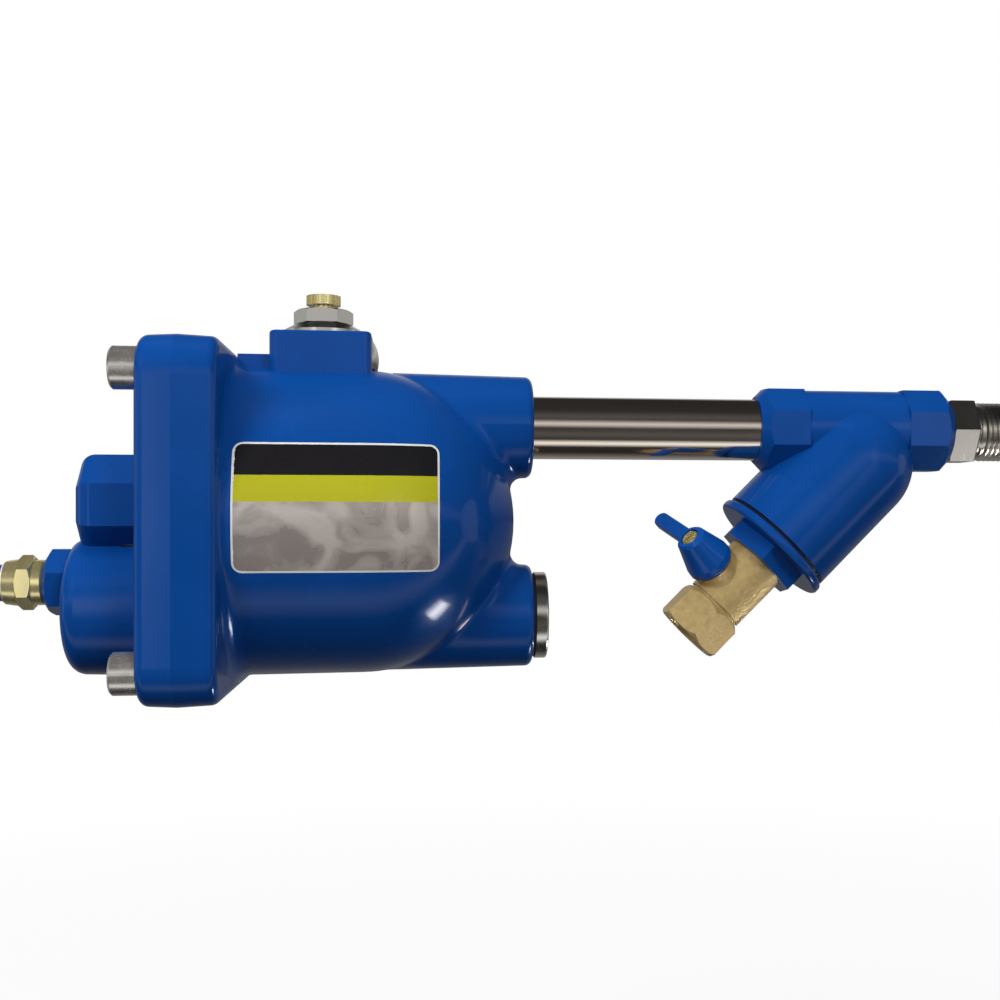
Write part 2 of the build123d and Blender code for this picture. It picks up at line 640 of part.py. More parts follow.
def make_sump_plug():
    """Collar plug with a hexagon socket in the sump boss, and its sealing washer."""
    washer_x = BOSS_X + SUMP_WASHER
    with BuildPart() as plug:
        with BuildSketch(across(washer_x, SUMP_Z)):
            Circle(SUMP_PLUG_R)
        extrude(amount=SUMP_PLUG_HEAD)
        fillet(plug.faces().sort_by(Axis.X)[-1].edges(), SUMP_PLUG_EDGE)
        with BuildSketch(across(washer_x, SUMP_Z, -1)):
            Circle(PLUG_THREAD_R)
        extrude(amount=SUMP_WASHER + SUMP_THREAD_DEPTH - 2 * END_GAP)
        with BuildSketch(across(washer_x + SUMP_PLUG_HEAD, SUMP_Z, -1)):
            RegularPolygon(SUMP_HEX_AF / 2, 6, major_radius=False)
        extrude(amount=SUMP_HEX_DEPTH, mode=Mode.SUBTRACT)
    write(plug.part, "sump_plug")

    with BuildPart() as washer:
        with BuildSketch(across(BOSS_X, SUMP_Z)):
            Circle(SUMP_PLUG_R - SUMP_WASHER_INSET)
            Circle(PLUG_THREAD_R + THREAD_GAP, mode=Mode.SUBTRACT)
        extrude(amount=SUMP_WASHER)
    write(washer.part, "sump_washer")


# ================================================================== inlet line
def make_inlet_pipe():
    """Stainless pipe between the strainer and the chamber."""
    with BuildPart() as pipe:
        with BuildSketch(across(BOSS_X - PIPE_INSERT)):
            Circle(PIPE_R)
            Circle(PIPE_BORE_R, mode=Mode.SUBTRACT)
        extrude(amount=PIPE_LENGTH)
        chamfer(pipe.edges().filter_by(GeomType.CIRCLE).filter_by(
            lambda edge: abs(edge.radius - PIPE_R) < THREAD_GAP), PIPE_EDGE)
    write(pipe.part, "inlet_pipe")


def make_inlet_nipple():
    """Hexagon nipple: the outer end is the valve's inlet thread."""
    with BuildPart() as nipple:
        with BuildSketch(across(NIPPLE_HEX_X, 0, -1)):
            RegularPolygon(NIPPLE_HEX_AF / 2, 6, major_radius=False, rotation=30)
        extrude(amount=NIPPLE_HEX_LENGTH)
        with BuildSketch(INLET_LINE):
            with BuildLine():
                Polyline(
                    (0, 0),
                    (0, INLET_THREAD_R),
                    (NIPPLE_HEX_X + NIPPLE_RELIEF, INLET_THREAD_R),
                    (NIPPLE_HEX_X, NIPPLE_RELIEF_R),
                    (STRAINER_X, NIPPLE_RELIEF_R),
                    (STRAINER_X, PIPE_R),
                    (STRAINER_X - NIPPLE_INSERT, PIPE_R),
                    (STRAINER_X - NIPPLE_INSERT, 0),
                    close=True,
                )
            make_face()
        revolve(axis=INLET_AXIS)
        with BuildSketch(across(0, 0, -1)):
            Circle(NIPPLE_BORE_R)
        extrude(amount=-STRAINER_X + NIPPLE_INSERT, mode=Mode.SUBTRACT)
    write(nipple.part, "inlet_nipple")


# ================================================================== Y-strainer
def make_strainer_body():
    """Cast Y-strainer body: eight-sided ends with turned corners, round middle, branch at 45 degrees."""
    corner_r = across_corners(STRAINER_END_AF, 8)
    end_r = corner_r - STRAINER_CHAMFER
    with BuildPart() as body:
        with BuildSketch(across(STRAINER_FAR_X)):
            RegularPolygon(STRAINER_END_AF / 2, 8, major_radius=False, rotation=22.5)
        extrude(amount=STRAINER_LEFT_END)
        with BuildSketch(across(STRAINER_X, 0, -1)):
            RegularPolygon(STRAINER_END_AF / 2, 8, major_radius=False, rotation=22.5)
        extrude(amount=STRAINER_RIGHT_END)
        with BuildSketch(INLET_LINE):
            with BuildLine():
                Polyline(
                    (STRAINER_FAR_X, 0),
                    (STRAINER_FAR_X, end_r),
                    (STRAINER_FAR_X + STRAINER_CHAMFER, corner_r),
                    (STRAINER_X - STRAINER_CHAMFER, corner_r),
                    (STRAINER_X, end_r),
                    (STRAINER_X, 0),
                    close=True,
                )
            make_face()
        revolve(axis=INLET_AXIS, mode=Mode.INTERSECT)
        with BuildSketch(across(STRAINER_FAR_X + STRAINER_LEFT_END - OVERLAP)):
            Circle(STRAINER_ROUND_R)
        extrude(amount=STRAINER_LENGTH - STRAINER_LEFT_END - STRAINER_RIGHT_END + 2 * OVERLAP)

        with BuildSketch(BRANCH_LINE):
            with BuildLine():
                shoulder = Polyline(
                    (BRANCH_DOME - BRANCH_R, 0), (BRANCH_END, 0), (BRANCH_END, BRANCH_R),
                    (BRANCH_DOME, BRANCH_R),
                )
                RadiusArc(shoulder @ 1, shoulder @ 0, -BRANCH_R)
            make_face()
        revolve(axis=BRANCH_AXIS)

        # passages: threaded ends, branch bore, the screen's seat
        for x, facing in ((STRAINER_FAR_X, 1), (STRAINER_X, -1)):
            with BuildSketch(across(x, 0, facing)):
                Circle(PIPE_R + THREAD_GAP)
            extrude(amount=STRAINER_THREAD_DEPTH, mode=Mode.SUBTRACT)
        with BuildSketch(across(STRAINER_FAR_X)):
            Circle(STRAINER_PORT_R)
        extrude(amount=STRAINER_LENGTH - BRANCH_BACK + NIPPLE_HEX_LENGTH, mode=Mode.SUBTRACT)
        with BuildSketch(across(STRAINER_X, 0, -1)):
            Circle(STRAINER_PORT_R)
        extrude(amount=BRANCH_BACK + STRAINER_X, mode=Mode.SUBTRACT)
        with BuildSketch(along_branch(BRANCH_END)):
            Circle(BRANCH_BORE_R)
        extrude(amount=SCREEN_TOP + SCREEN_SEAT - BRANCH_END, mode=Mode.SUBTRACT)
        with BuildSketch(along_branch(BRANCH_END)):
            Circle(SCREEN_R + SIDE_GAP / 2)
        extrude(amount=SCREEN_TOP - BRANCH_END, mode=Mode.SUBTRACT)
        with BuildSketch(along_branch(BRANCH_END)):
            Circle(SCREEN_R - SCREEN_LEDGE)
        extrude(amount=-BRANCH_END, mode=Mode.SUBTRACT)
    write(body.part, "strainer_body")


def make_strainer_screen():
    """Perforated screen tube between its seat in the body and the cap."""
    length = BRANCH_END - CAP_SPIGOT - SCREEN_TOP
    with BuildPart() as screen:
        with BuildSketch(along_branch(SCREEN_TOP)):
            Circle(SCREEN_R)
            Circle(SCREEN_R - SCREEN_WALL, mode=Mode.SUBTRACT)
        extrude(amount=length)
        for row in range(SCREEN_ROWS):
            station = BRANCH_START + BRANCH_DIR * (SCREEN_TOP + length * (row + 1) / (SCREEN_ROWS + 1))
            for facing in ((0, 1, 0), BRANCH_SIDE):
                with BuildSketch(Plane(origin=station, x_dir=BRANCH_DIR, z_dir=facing)):
                    Rectangle(length / SCREEN_ROWS / 3, SCREEN_SLOT)
                extrude(amount=SCREEN_R + OVERLAP, both=True, mode=Mode.SUBTRACT)
    write(screen.part, "strainer_screen")


def make_strainer_cap():
    """Screwed cap of the branch: collar, hexagon, and the tapped hole that carries the ball valve."""
    with BuildPart() as cap:
        with BuildSketch(along_branch(BRANCH_END + CAP_GASKET)):
            Circle(CAP_COLLAR_R)
        extrude(amount=CAP_COLLAR - CAP_GASKET)
        fillet(cap.edges(), CAP_EDGE)
        with BuildSketch(along_branch(BRANCH_END + CAP_COLLAR)):
            RegularPolygon(CAP_HEX_AF / 2, 6, major_radius=False, rotation=CAP_HEX_TURN)
        extrude(amount=CAP_HEX)
        with BuildSketch(along_branch(BRANCH_END + CAP_GASKET)):
            Circle(BRANCH_BORE_R - THREAD_GAP)
        extrude(amount=-CAP_SPIGOT - CAP_GASKET)
        with BuildSketch(along_branch(CAP_END)):
            Circle(VALVE_SPIGOT_R + THREAD_GAP)
        extrude(amount=-VALVE_SPIGOT - END_GAP, mode=Mode.SUBTRACT)
        with BuildSketch(along_branch(CAP_END)):
            Circle(VALVE_PORT_R)
        extrude(amount=-CAP_HEX - CAP_COLLAR - CAP_SPIGOT - OVERLAP, mode=Mode.SUBTRACT)
    write(cap.part, "strainer_cap")

    with BuildPart() as gasket:
        with BuildSketch(along_branch(BRANCH_END)):
            Circle(BRANCH_R - CAP_GASKET_INSET)
            Circle(BRANCH_BORE_R + THREAD_GAP, mode=Mode.SUBTRACT)
        extrude(amount=CAP_GASKET)
    write(gasket.part, "cap_gasket")


# ================================================================== ball valve
def make_ball_valve_body():
    """Brass body: spigot, turned barrel with the stem boss, ball cavity."""
    cavity_top = STEM_STATION - SEAT_OFFSET - SEAT_LENGTH
    with BuildPart() as body:
        with BuildSketch(BRANCH_LINE):
            with BuildLine():
                Polyline(
                    (CAP_END - VALVE_SPIGOT, 0),
                    (CAP_END - VALVE_SPIGOT, VALVE_SPIGOT_R),
                    (CAP_END, VALVE_SPIGOT_R),
                    (CAP_END, BARREL_R),
                    (BARREL_STOP, BARREL_END_R),
                    (BARREL_STOP, 0),
                    close=True,
                )
            make_face()
        revolve(axis=BRANCH_AXIS)
        with BuildSketch(along_stem(0)):
            Circle(STEM_BOSS_R)
        extrude(amount=STEM_BOSS_TOP)
        fillet(body.edges(Select.NEW), STEM_BOSS_ROOT)
        with BuildSketch(along_branch(BARREL_STOP)):
            Circle(END_SPIGOT_R + THREAD_GAP)
        extrude(amount=-END_SPIGOT, mode=Mode.SUBTRACT)
        with BuildSketch(along_branch(BARREL_STOP)):
            Circle(BALL_CAVITY_R)
        extrude(amount=cavity_top - BARREL_STOP, mode=Mode.SUBTRACT)
        with BuildSketch(along_branch(BARREL_STOP)):
            Circle(VALVE_PORT_R)
        extrude(amount=CAP_END - VALVE_SPIGOT - BARREL_STOP, mode=Mode.SUBTRACT)
        with BuildSketch(along_stem(STEM_BOSS_TOP)):
            Circle(STEM_R + RUNNING_GAP)
        extrude(amount=-STEM_BOSS_TOP, mode=Mode.SUBTRACT)
        with BuildSketch(along_stem(STEM_BOSS_TOP)):
            Circle(PACKING_R + THREAD_GAP)
        extrude(amount=-PACKING_LENGTH - GLAND_SPIGOT, mode=Mode.SUBTRACT)
    write(body.part, "ball_valve_body")


def make_ball_valve_end():
    """Hexagon end piece: screwed into the barrel behind the lower seat, with the outlet thread."""
    seat_stop = STEM_STATION + SEAT_OFFSET + SEAT_LENGTH
    hex_start = BARREL_STOP + VALVE_GROOVE
    with BuildPart() as end:
        with BuildSketch(along_branch(hex_start)):
            RegularPolygon(VALVE_HEX_AF / 2, 6, major_radius=False)
        extrude(amount=VALVE_HEX)
        with BuildSketch(BRANCH_LINE):
            with BuildLine():
                corner_r = across_corners(VALVE_HEX_AF)
                Polyline(
                    (hex_start, 0),
                    (hex_start, VALVE_HEX_START_R),
                    (hex_start + VALVE_HEX_CHAMFER, corner_r),
                    (VALVE_END - VALVE_HEX_EDGE, corner_r),
                    (VALVE_END, VALVE_HEX_END_R),
                    (VALVE_END, 0),
                    close=True,
                )
            make_face()
        revolve(axis=BRANCH_AXIS, mode=Mode.INTERSECT)
        with BuildSketch(along_branch(hex_start)):
            Circle(VALVE_GROOVE_R)
        extrude(amount=-VALVE_GROOVE)
        with BuildSketch(along_branch(BARREL_STOP)):
            Circle(END_SPIGOT_R)
        extrude(amount=-END_SPIGOT)
        with BuildSketch(along_branch(BARREL_STOP - END_SPIGOT)):
            Circle(BALL_CAVITY_R)
        extrude(amount=seat_stop - BARREL_STOP + END_SPIGOT, mode=Mode.SUBTRACT)
        with BuildSketch(along_branch(VALVE_END)):
            Circle(VALVE_PORT_R)
        extrude(amount=-VALVE_HEX - END_SPIGOT - VALVE_GROOVE, mode=Mode.SUBTRACT)
        with BuildSketch(along_branch(VALVE_END)):
            Circle(OUTLET_THREAD_R)
        extrude(amount=-OUTLET_THREAD_DEPTH, mode=Mode.SUBTRACT)
    write(end.part, "ball_valve_end")


def make_valve_ball():
    """Ball with its port across the flow, as it stands when the valve is shut, and the stem's slot on top."""
    with BuildPart() as ball:
        with BuildSketch(STEM_LINE):
            with BuildLine():
                CenterArc((0, 0), BALL_R, 0, 180)
                Line((-BALL_R, 0), (BALL_R, 0))
            make_face()
        revolve(axis=STEM_AXIS)
        with BuildSketch(Plane(origin=BALL_CENTRE, x_dir=STEM_DIR, z_dir=LEVER_DIR)):
            Circle(BALL_PORT_R)
        extrude(amount=BALL_R, both=True, mode=Mode.SUBTRACT)
        with BuildSketch(along_stem(BALL_R)):
            Rectangle(2 * BALL_R, STEM_TONGUE + 2 * RUNNING_GAP)
        extrude(amount=-BALL_SLOT, mode=Mode.SUBTRACT)
    write(ball.part, "valve_ball")


def make_ball_seats():
    """Two PTFE seat rings, hollowed to the ball."""
    with BuildPart() as seats:
        for side in (-1, 1):
            near = STEM_STATION + side * SEAT_OFFSET
            with BuildSketch(along_branch(near)):
                Circle(BALL_CAVITY_R - THREAD_GAP)
                Circle(SEAT_INNER_R, mode=Mode.SUBTRACT)
            extrude(amount=side * SEAT_LENGTH)
        with BuildSketch(BRANCH_LINE):
            with BuildLine():
                gap_r = BALL_R + RUNNING_GAP
                CenterArc((STEM_STATION, 0), gap_r, 0, 180)
                Line((STEM_STATION - gap_r, 0), (STEM_STATION + gap_r, 0))
            make_face()
        revolve(axis=BRANCH_AXIS, mode=Mode.SUBTRACT)
    write(seats.part, "ball_seats")


def make_valve_stem():
    """Stem: tongue in the ball's slot, round shaft, and a flatted end in the handle."""
    with BuildPart() as stem:
        with BuildSketch(along_stem(BALL_R - BALL_SLOT + SLOT_END_GAP)):
            Rectangle(STEM_TONGUE_WIDTH, STEM_TONGUE)
        extrude(amount=STEM_TONGUE_LENGTH)
        with BuildSketch(along_stem(BALL_R + STEM_START)):
            Circle(STEM_R)
        extrude(amount=HANDLE_TOP - HANDLE_SCREW - BALL_R - STEM_START)
    write(stem.part, "valve_stem")

    with BuildPart() as packing:
        with BuildSketch(along_stem(STEM_BOSS_TOP - GLAND_SPIGOT)):
            Circle(PACKING_R)
            Circle(STEM_R + RUNNING_GAP, mode=Mode.SUBTRACT)
        extrude(amount=-PACKING_LENGTH)
    write(packing.part, "stem_packing")

    with BuildPart() as gland:
        with BuildSketch(along_stem(STEM_BOSS_TOP)):
            RegularPolygon(GLAND_AF / 2, 6, major_radius=False)
        extrude(amount=GLAND_TOP - STEM_BOSS_TOP)
        with BuildSketch(along_stem(STEM_BOSS_TOP)):
            Circle(PACKING_R)
        extrude(amount=-GLAND_SPIGOT)
        with BuildSketch(along_stem(GLAND_TOP)):
            Circle(STEM_R + RUNNING_GAP)
        extrude(amount=STEM_BOSS_TOP - GLAND_TOP - GLAND_SPIGOT, mode=Mode.SUBTRACT)
    write(gland.part, "gland_nut")


def make_valve_handle():
    """Moulded handle: coned skirt over the gland, rounded rim, lever and screw recess."""
    with BuildPart() as handle:
        with BuildSketch(along_stem(HANDLE_TOP - LEVER_STEP)):
            with Locations((LEVER_REACH / 2, 0)):
                SlotOverall(LEVER_REACH, LEVER_WIDTH)
        extrude(amount=-LEVER_THICKNESS)
        for side in (-1, 0):
            fillet(handle.faces().sort_by(STEM_AXIS)[side].edges(), LEVER_EDGE)
        with BuildSketch(STEM_LINE):
            with BuildLine():
                Polyline(
                    (HANDLE_BASE, 0), (HANDLE_BASE, HANDLE_BASE_R - HANDLE_EDGE),
                    (HANDLE_BASE + HANDLE_RIM / 3, HANDLE_BASE_R),
                    (HANDLE_BASE + HANDLE_RIM, HANDLE_BASE_R - HANDLE_RIM_TAPER),
                    (HANDLE_TOP - HANDLE_TOP_EDGE, HANDLE_TOP_R), (HANDLE_TOP, HANDLE_TOP_R - HANDLE_EDGE),
                    (HANDLE_TOP, 0), close=True,
                )
            make_face()
        revolve(axis=STEM_AXIS)
        with BuildSketch(along_stem(HANDLE_BASE)):
            Circle(HANDLE_BASE_R - HANDLE_WALL)
        extrude(amount=HANDLE_TOP - HANDLE_ROOF - HANDLE_BASE, mode=Mode.SUBTRACT)
        with BuildSketch(along_stem(HANDLE_BASE)):
            Circle(STEM_R)
        extrude(amount=HANDLE_TOP - HANDLE_SCREW - HANDLE_BASE, mode=Mode.SUBTRACT)
        with BuildSketch(along_stem(HANDLE_TOP)):
            Circle(HANDLE_SCREW_HEAD_R + SIDE_GAP)
        extrude(amount=-HANDLE_RECESS, mode=Mode.SUBTRACT)
        with BuildSketch(along_stem(HANDLE_TOP)):
            Circle(HANDLE_SCREW_R)
        extrude(amount=-HANDLE_SCREW - OVERLAP, mode=Mode.SUBTRACT)
    write(handle.part, "valve_handle")

    with BuildPart() as screw:
        with BuildSketch(along_stem(HANDLE_TOP - HANDLE_RECESS)):
            Circle(HANDLE_SCREW_HEAD_R)
        extrude(amount=HANDLE_RECESS)
        fillet(screw.faces().sort_by(STEM_AXIS)[-1].edges(), HANDLE_SCREW_EDGE)
        with BuildSketch(along_stem(HANDLE_TOP)):
            Rectangle(HANDLE_SCREW_SLOT, 2 * HANDLE_SCREW_HEAD_R)
        extrude(amount=-HANDLE_SCREW_CUT, mode=Mode.SUBTRACT)
        with BuildSketch(along_stem(HANDLE_TOP - HANDLE_RECESS)):
            Circle(HANDLE_SCREW_R)
        extrude(amount=HANDLE_RECESS - HANDLE_SCREW)
    write(screw.part, "handle_screw")


# ================================================================== outlet
def make_outlet_adapter():
    """Painted hexagon adapter in the cover's outlet."""
    with BuildPart() as adapter:
        with BuildSketch(across(BULGE_X, OUTLET_Z, -1)):
            RegularPolygon(ADAPTER_HEX_AF / 2, 6, major_radius=False, rotation=ADAPTER_TURN)
        extrude(amount=ADAPTER_HEX)
        with BuildSketch(OUTLET_LINE):
            with BuildLine():
                corner_r = across_corners(ADAPTER_HEX_AF)
                Polyline(
                    (BULGE_X, 0), (BULGE_X, corner_r), (ADAPTER_X + ADAPTER_CHAMFER, corner_r),
                    (ADAPTER_X, corner_r - 1.6 * ADAPTER_CHAMFER), (ADAPTER_X, 0), close=True,
                )
            make_face()
        revolve(axis=OUTLET_AXIS, mode=Mode.INTERSECT)
        with BuildSketch(across(BULGE_X, OUTLET_Z)):
            Circle(ADAPTER_THREAD_R)
        extrude(amount=ADAPTER_THREAD)
        with BuildSketch(across(ADAPTER_X, OUTLET_Z)):
            Circle(FITTING_THREAD_R + THREAD_GAP)
        extrude(amount=FITTING_THREAD + SHORT_END_GAP, mode=Mode.SUBTRACT)
        with BuildSketch(across(ADAPTER_X, OUTLET_Z)):
            Circle(FITTING_BORE_R)
        extrude(amount=ADAPTER_HEX + ADAPTER_THREAD, mode=Mode.SUBTRACT)
    write(adapter.part, "outlet_adapter")


def make_hose_fitting():
    """Brass push-in fitting: thread, round collar, hexagon, coned nose, and the collet for the hose."""
    hex_x = ADAPTER_X - FITTING_COLLAR
    nose_x = hex_x - FITTING_HEX
    corner_r = across_corners(FITTING_HEX_AF)
    flat_r = FITTING_HEX_AF / 2
    collet_r = HOSE_R + COLLET_WALL
    with BuildPart() as fitting:
        with BuildSketch(across(hex_x, OUTLET_Z, -1)):
            RegularPolygon(flat_r, 6, major_radius=False, rotation=30)
        extrude(amount=FITTING_HEX)
        with BuildSketch(OUTLET_LINE):
            with BuildLine():
                Polyline(
                    (hex_x, 0), (hex_x, flat_r), (hex_x - FITTING_CHAMFER, corner_r),
                    (nose_x + FITTING_CHAMFER, corner_r), (nose_x, flat_r), (nose_x, 0), close=True,
                )
            make_face()
        revolve(axis=OUTLET_AXIS, mode=Mode.INTERSECT)
        with BuildSketch(OUTLET_LINE):
            with BuildLine():
                Polyline(
                    (ADAPTER_X + FITTING_THREAD, 0), (ADAPTER_X + FITTING_THREAD, FITTING_THREAD_R),
                    (ADAPTER_X, FITTING_THREAD_R), (ADAPTER_X, FITTING_COLLAR_R - FITTING_CHAMFER),
                    (ADAPTER_X - FITTING_CHAMFER, FITTING_COLLAR_R), (hex_x, FITTING_COLLAR_R),
                    (hex_x, 0), close=True,
                )
            make_face()
        revolve(axis=OUTLET_AXIS)
        with BuildSketch(OUTLET_LINE):
            with BuildLine():
                Polyline((nose_x, 0), (nose_x, FITTING_NOSE_R), (NOSE_X, FITTING_NOSE_END_R), (NOSE_X, 0),
                         close=True)
            make_face()
        revolve(axis=OUTLET_AXIS)
        with BuildSketch(across(NOSE_X, OUTLET_Z)):
            Circle(HOSE_R + THREAD_GAP)
        extrude(amount=HOSE_INSERT, mode=Mode.SUBTRACT)
        with BuildSketch(across(NOSE_X, OUTLET_Z)):
            Circle(FITTING_BORE_R)
        extrude(amount=ADAPTER_X + FITTING_THREAD - NOSE_X, mode=Mode.SUBTRACT)
        with BuildSketch(across(NOSE_X, OUTLET_Z)):
            Circle(collet_r + THREAD_GAP)
        extrude(amount=COLLET_DEPTH, mode=Mode.SUBTRACT)
    write(fitting.part, "hose_fitting")

    with BuildPart() as collet:
        with BuildSketch(across(NOSE_X + COLLET_DEPTH, OUTLET_Z, -1)):
            Circle(collet_r)
            Circle(HOSE_R + THREAD_GAP, mode=Mode.SUBTRACT)
        extrude(amount=COLLET_DEPTH + COLLET_LIP)
    write(collet.part, "hose_collet")


def make_drain_hose():
    """Drain hose: straight out of the fitting, then curving down under its own weight to a square-cut end."""
    start_x = NOSE_X + HOSE_INSERT
    route = [
        (start_x, OUTLET_Z),
        (start_x - 34, OUTLET_Z),
        (start_x - 66, OUTLET_Z - 8),
        (start_x - 93, OUTLET_Z - 26),
        (start_x - 113, OUTLET_Z - 53),
        (start_x - 126, OUTLET_Z - 86),
        (start_x - 132, OUTLET_Z - 122),
        (start_x - 133, OUTLET_Z - 160),
        (start_x - 131, OUTLET_Z - 198),
        (start_x - 132, OUTLET_Z - 234),
    ]
    points = [Vector(x, 0, z) for x, z in route]
    radii = []
    for before, here, after in zip(points, points[1:], points[2:]):
        turn = (here - before).get_angle(after - here)
        shorter = min((here - before).length, (after - here).length)
        radii.append(0.45 * shorter / tan(radians(turn / 2)))
    print("hose bend radii:", [round(radius) for radius in radii])
    with BuildPart() as hose:
        with BuildLine() as path:
            FilletPolyline(*points, radius=radii)
        with BuildSketch(across(start_x, OUTLET_Z, -1)):
            Circle(HOSE_R)
            Circle(HOSE_BORE_R, mode=Mode.SUBTRACT)
        sweep(path=path.wires()[0])
    length = path.wires()[0].length
    section = pi * (HOSE_R**2 - HOSE_BORE_R**2)
    print("hose length:", round(length, 1), "volume share:", round(hose.part.volume / section / length, 4))
    write(hose.part, "drain_hose")


# ================================================================== float and lever-worked valve
def make_valve_seat():
    """Screwed seat with its nose and the windowed cage that guides the plunger."""
    flange_x = POCKET_X + SEAT_FLANGE
    with BuildPart() as seat:
        with BuildSketch(OUTLET_LINE):
            with BuildLine():
                Polyline(
                    (POCKET_X - SEAT_THREAD, SEAT_BORE_R), (POCKET_X - SEAT_THREAD, SEAT_THREAD_R),
                    (POCKET_X, SEAT_THREAD_R), (POCKET_X, SEAT_FLANGE_R),
                    (flange_x + CAGE, SEAT_FLANGE_R), (flange_x + CAGE, PLUNGER_R + RUNNING_GAP),
                    (flange_x, PLUNGER_R + RUNNING_GAP), (flange_x, SEAT_NOSE_R),
                    (LIP_X, SEAT_NOSE_R - 0.8), (LIP_X, SEAT_BORE_R), close=True,
                )
            make_face()
        revolve(axis=OUTLET_AXIS)
        for turn in (0, 60, 120):
            window = Plane(origin=(flange_x, 0, OUTLET_Z), x_dir=(1, 0, 0),
                           z_dir=(0, cos(radians(turn)), sin(radians(turn))))
            with BuildSketch(window):
                with Locations((CAGE_WINDOW / 2, 0)):
                    Rectangle(CAGE_WINDOW, 5)
            extrude(amount=SEAT_FLANGE_R + 1, both=True, mode=Mode.SUBTRACT)
    write(seat.part, "valve_seat")


def make_plunger():
    """Plunger: cup for the rubber pad, round guide and the slotted tongue that the lever works."""
    with BuildPart() as plunger:
        with BuildSketch(across(CUP_X, OUTLET_Z)):
            Circle(PLUNGER_R)
        extrude(amount=PLUNGER)
        with BuildSketch(across(PLUNGER_END_X, OUTLET_Z)):
            Rectangle(TONGUE_WIDTH, 2 * PLUNGER_R - 1.5)
        extrude(amount=TONGUE)
        with BuildSketch(across(CUP_X, OUTLET_Z)):
            Circle(PAD_R)
        extrude(amount=PAD_INSET, mode=Mode.SUBTRACT)
        with BuildSketch(OUTLET_LINE):
            with Locations((PIVOT_X, 0)):
                Rectangle(2 * (LINK_PIN_R + LINK_SLOT_PLAY), 2 * LINK_PIN_R + 2.4)
        extrude(amount=TONGUE_WIDTH, both=True, mode=Mode.SUBTRACT)
    write(plunger.part, "plunger")

    with BuildPart() as pad:
        with BuildSketch(across(LIP_X, OUTLET_Z)):
            Circle(PAD_R)
        extrude(amount=PAD)
    write(pad.part, "plunger_pad")


def make_float_lever():
    """Lever: hub on the pivot, two cheeks down to the link pin, and a boss for the float's rod."""
    rod_dir = Vector(FLOAT_X - PIVOT_X, 0, FLOAT_Z - PIVOT_Z).normalized()
    pivot = Vector(PIVOT_X, 0, PIVOT_Z)
    rod_start = LEVER_HUB_R + 3.0
    rod_end = sqrt(FLOAT_REACH**2 + FLOAT_DROP**2) - FLOAT_R - FLOAT_NECK
    with BuildPart() as lever:
        with BuildSketch(line_plane(PIVOT_Z)):
            with Locations((PIVOT_X, 0)):
                Circle(LEVER_HUB_R)
        extrude(amount=LEVER_HUB_LENGTH / 2, both=True)
        for side in (-1, 1):
            inner_y = side * (TONGUE_WIDTH / 2 + SIDE_GAP)
            with BuildSketch(Plane(origin=(PIVOT_X, inner_y, PIVOT_Z), x_dir=(1, 0, 0), z_dir=(0, -1, 0))):
                with Locations((0, -LINK_ARM / 2)):
                    Rectangle(LEVER_CHEEK_WIDTH, LINK_ARM)
                with Locations((0, -LINK_ARM)):
                    Circle(LEVER_CHEEK_WIDTH / 2)
            extrude(amount=-side * LEVER_CHEEK)
        with BuildSketch(Plane(origin=pivot, x_dir=(0, 1, 0), z_dir=rod_dir)):
            Circle(FLOAT_ROD_R + 1.6)
        extrude(amount=rod_start + 5)
        with BuildSketch(Plane(origin=pivot + rod_dir * rod_start, x_dir=(0, 1, 0), z_dir=rod_dir)):
            Circle(FLOAT_ROD_R + THREAD_GAP)
        extrude(amount=6, mode=Mode.SUBTRACT)
        with BuildSketch(line_plane(PIVOT_Z)):
            with Locations((PIVOT_X, 0)):
                Circle(PIVOT_PIN_R + RUNNING_GAP)
            with Locations((PIVOT_X, -LINK_ARM)):
                Circle(LINK_PIN_R)
        extrude(amount=LEVER_HUB_LENGTH, both=True, mode=Mode.SUBTRACT)
    write(lever.part, "float_lever")

    with BuildPart() as link_pin:
        with BuildSketch(OUTLET_LINE):
            with Locations((PIVOT_X, 0)):
                Circle(LINK_PIN_R)
        extrude(amount=LINK_PIN_LENGTH / 2, both=True)
    write(link_pin.part, "link_pin")

    with BuildPart() as rod:
        with BuildSketch(Plane(origin=pivot + rod_dir * rod_start, x_dir=(0, 1, 0), z_dir=rod_dir)):
            Circle(FLOAT_ROD_R)
        extrude(amount=rod_end - rod_start)
    write(rod.part, "float_rod")

    with BuildPart() as ball:
        with BuildSketch(Plane(origin=(FLOAT_X, 0, FLOAT_Z), x_dir=rod_dir, z_dir=(0, -1, 0))):
            with BuildLine():
                CenterArc((0, 0), FLOAT_R, 0, 180)
                Line((-FLOAT_R, 0), (FLOAT_R, 0))
            make_face()
        revolve(axis=Axis((FLOAT_X, 0, FLOAT_Z), rod_dir))
        with BuildSketch(Plane(origin=pivot + rod_dir * rod_end, x_dir=(0, 1, 0), z_dir=rod_dir)):
            Circle(FLOAT_NECK_R)
        extrude(amount=FLOAT_NECK + 2)
        with BuildSketch(Plane(origin=(FLOAT_X, 0, FLOAT_Z), x_dir=(0, 1, 0), z_dir=rod_dir)):
            Circle(FLOAT_R + 0.5)
        extrude(amount=0.8, both=True)
    write(ball.part, "float_ball")


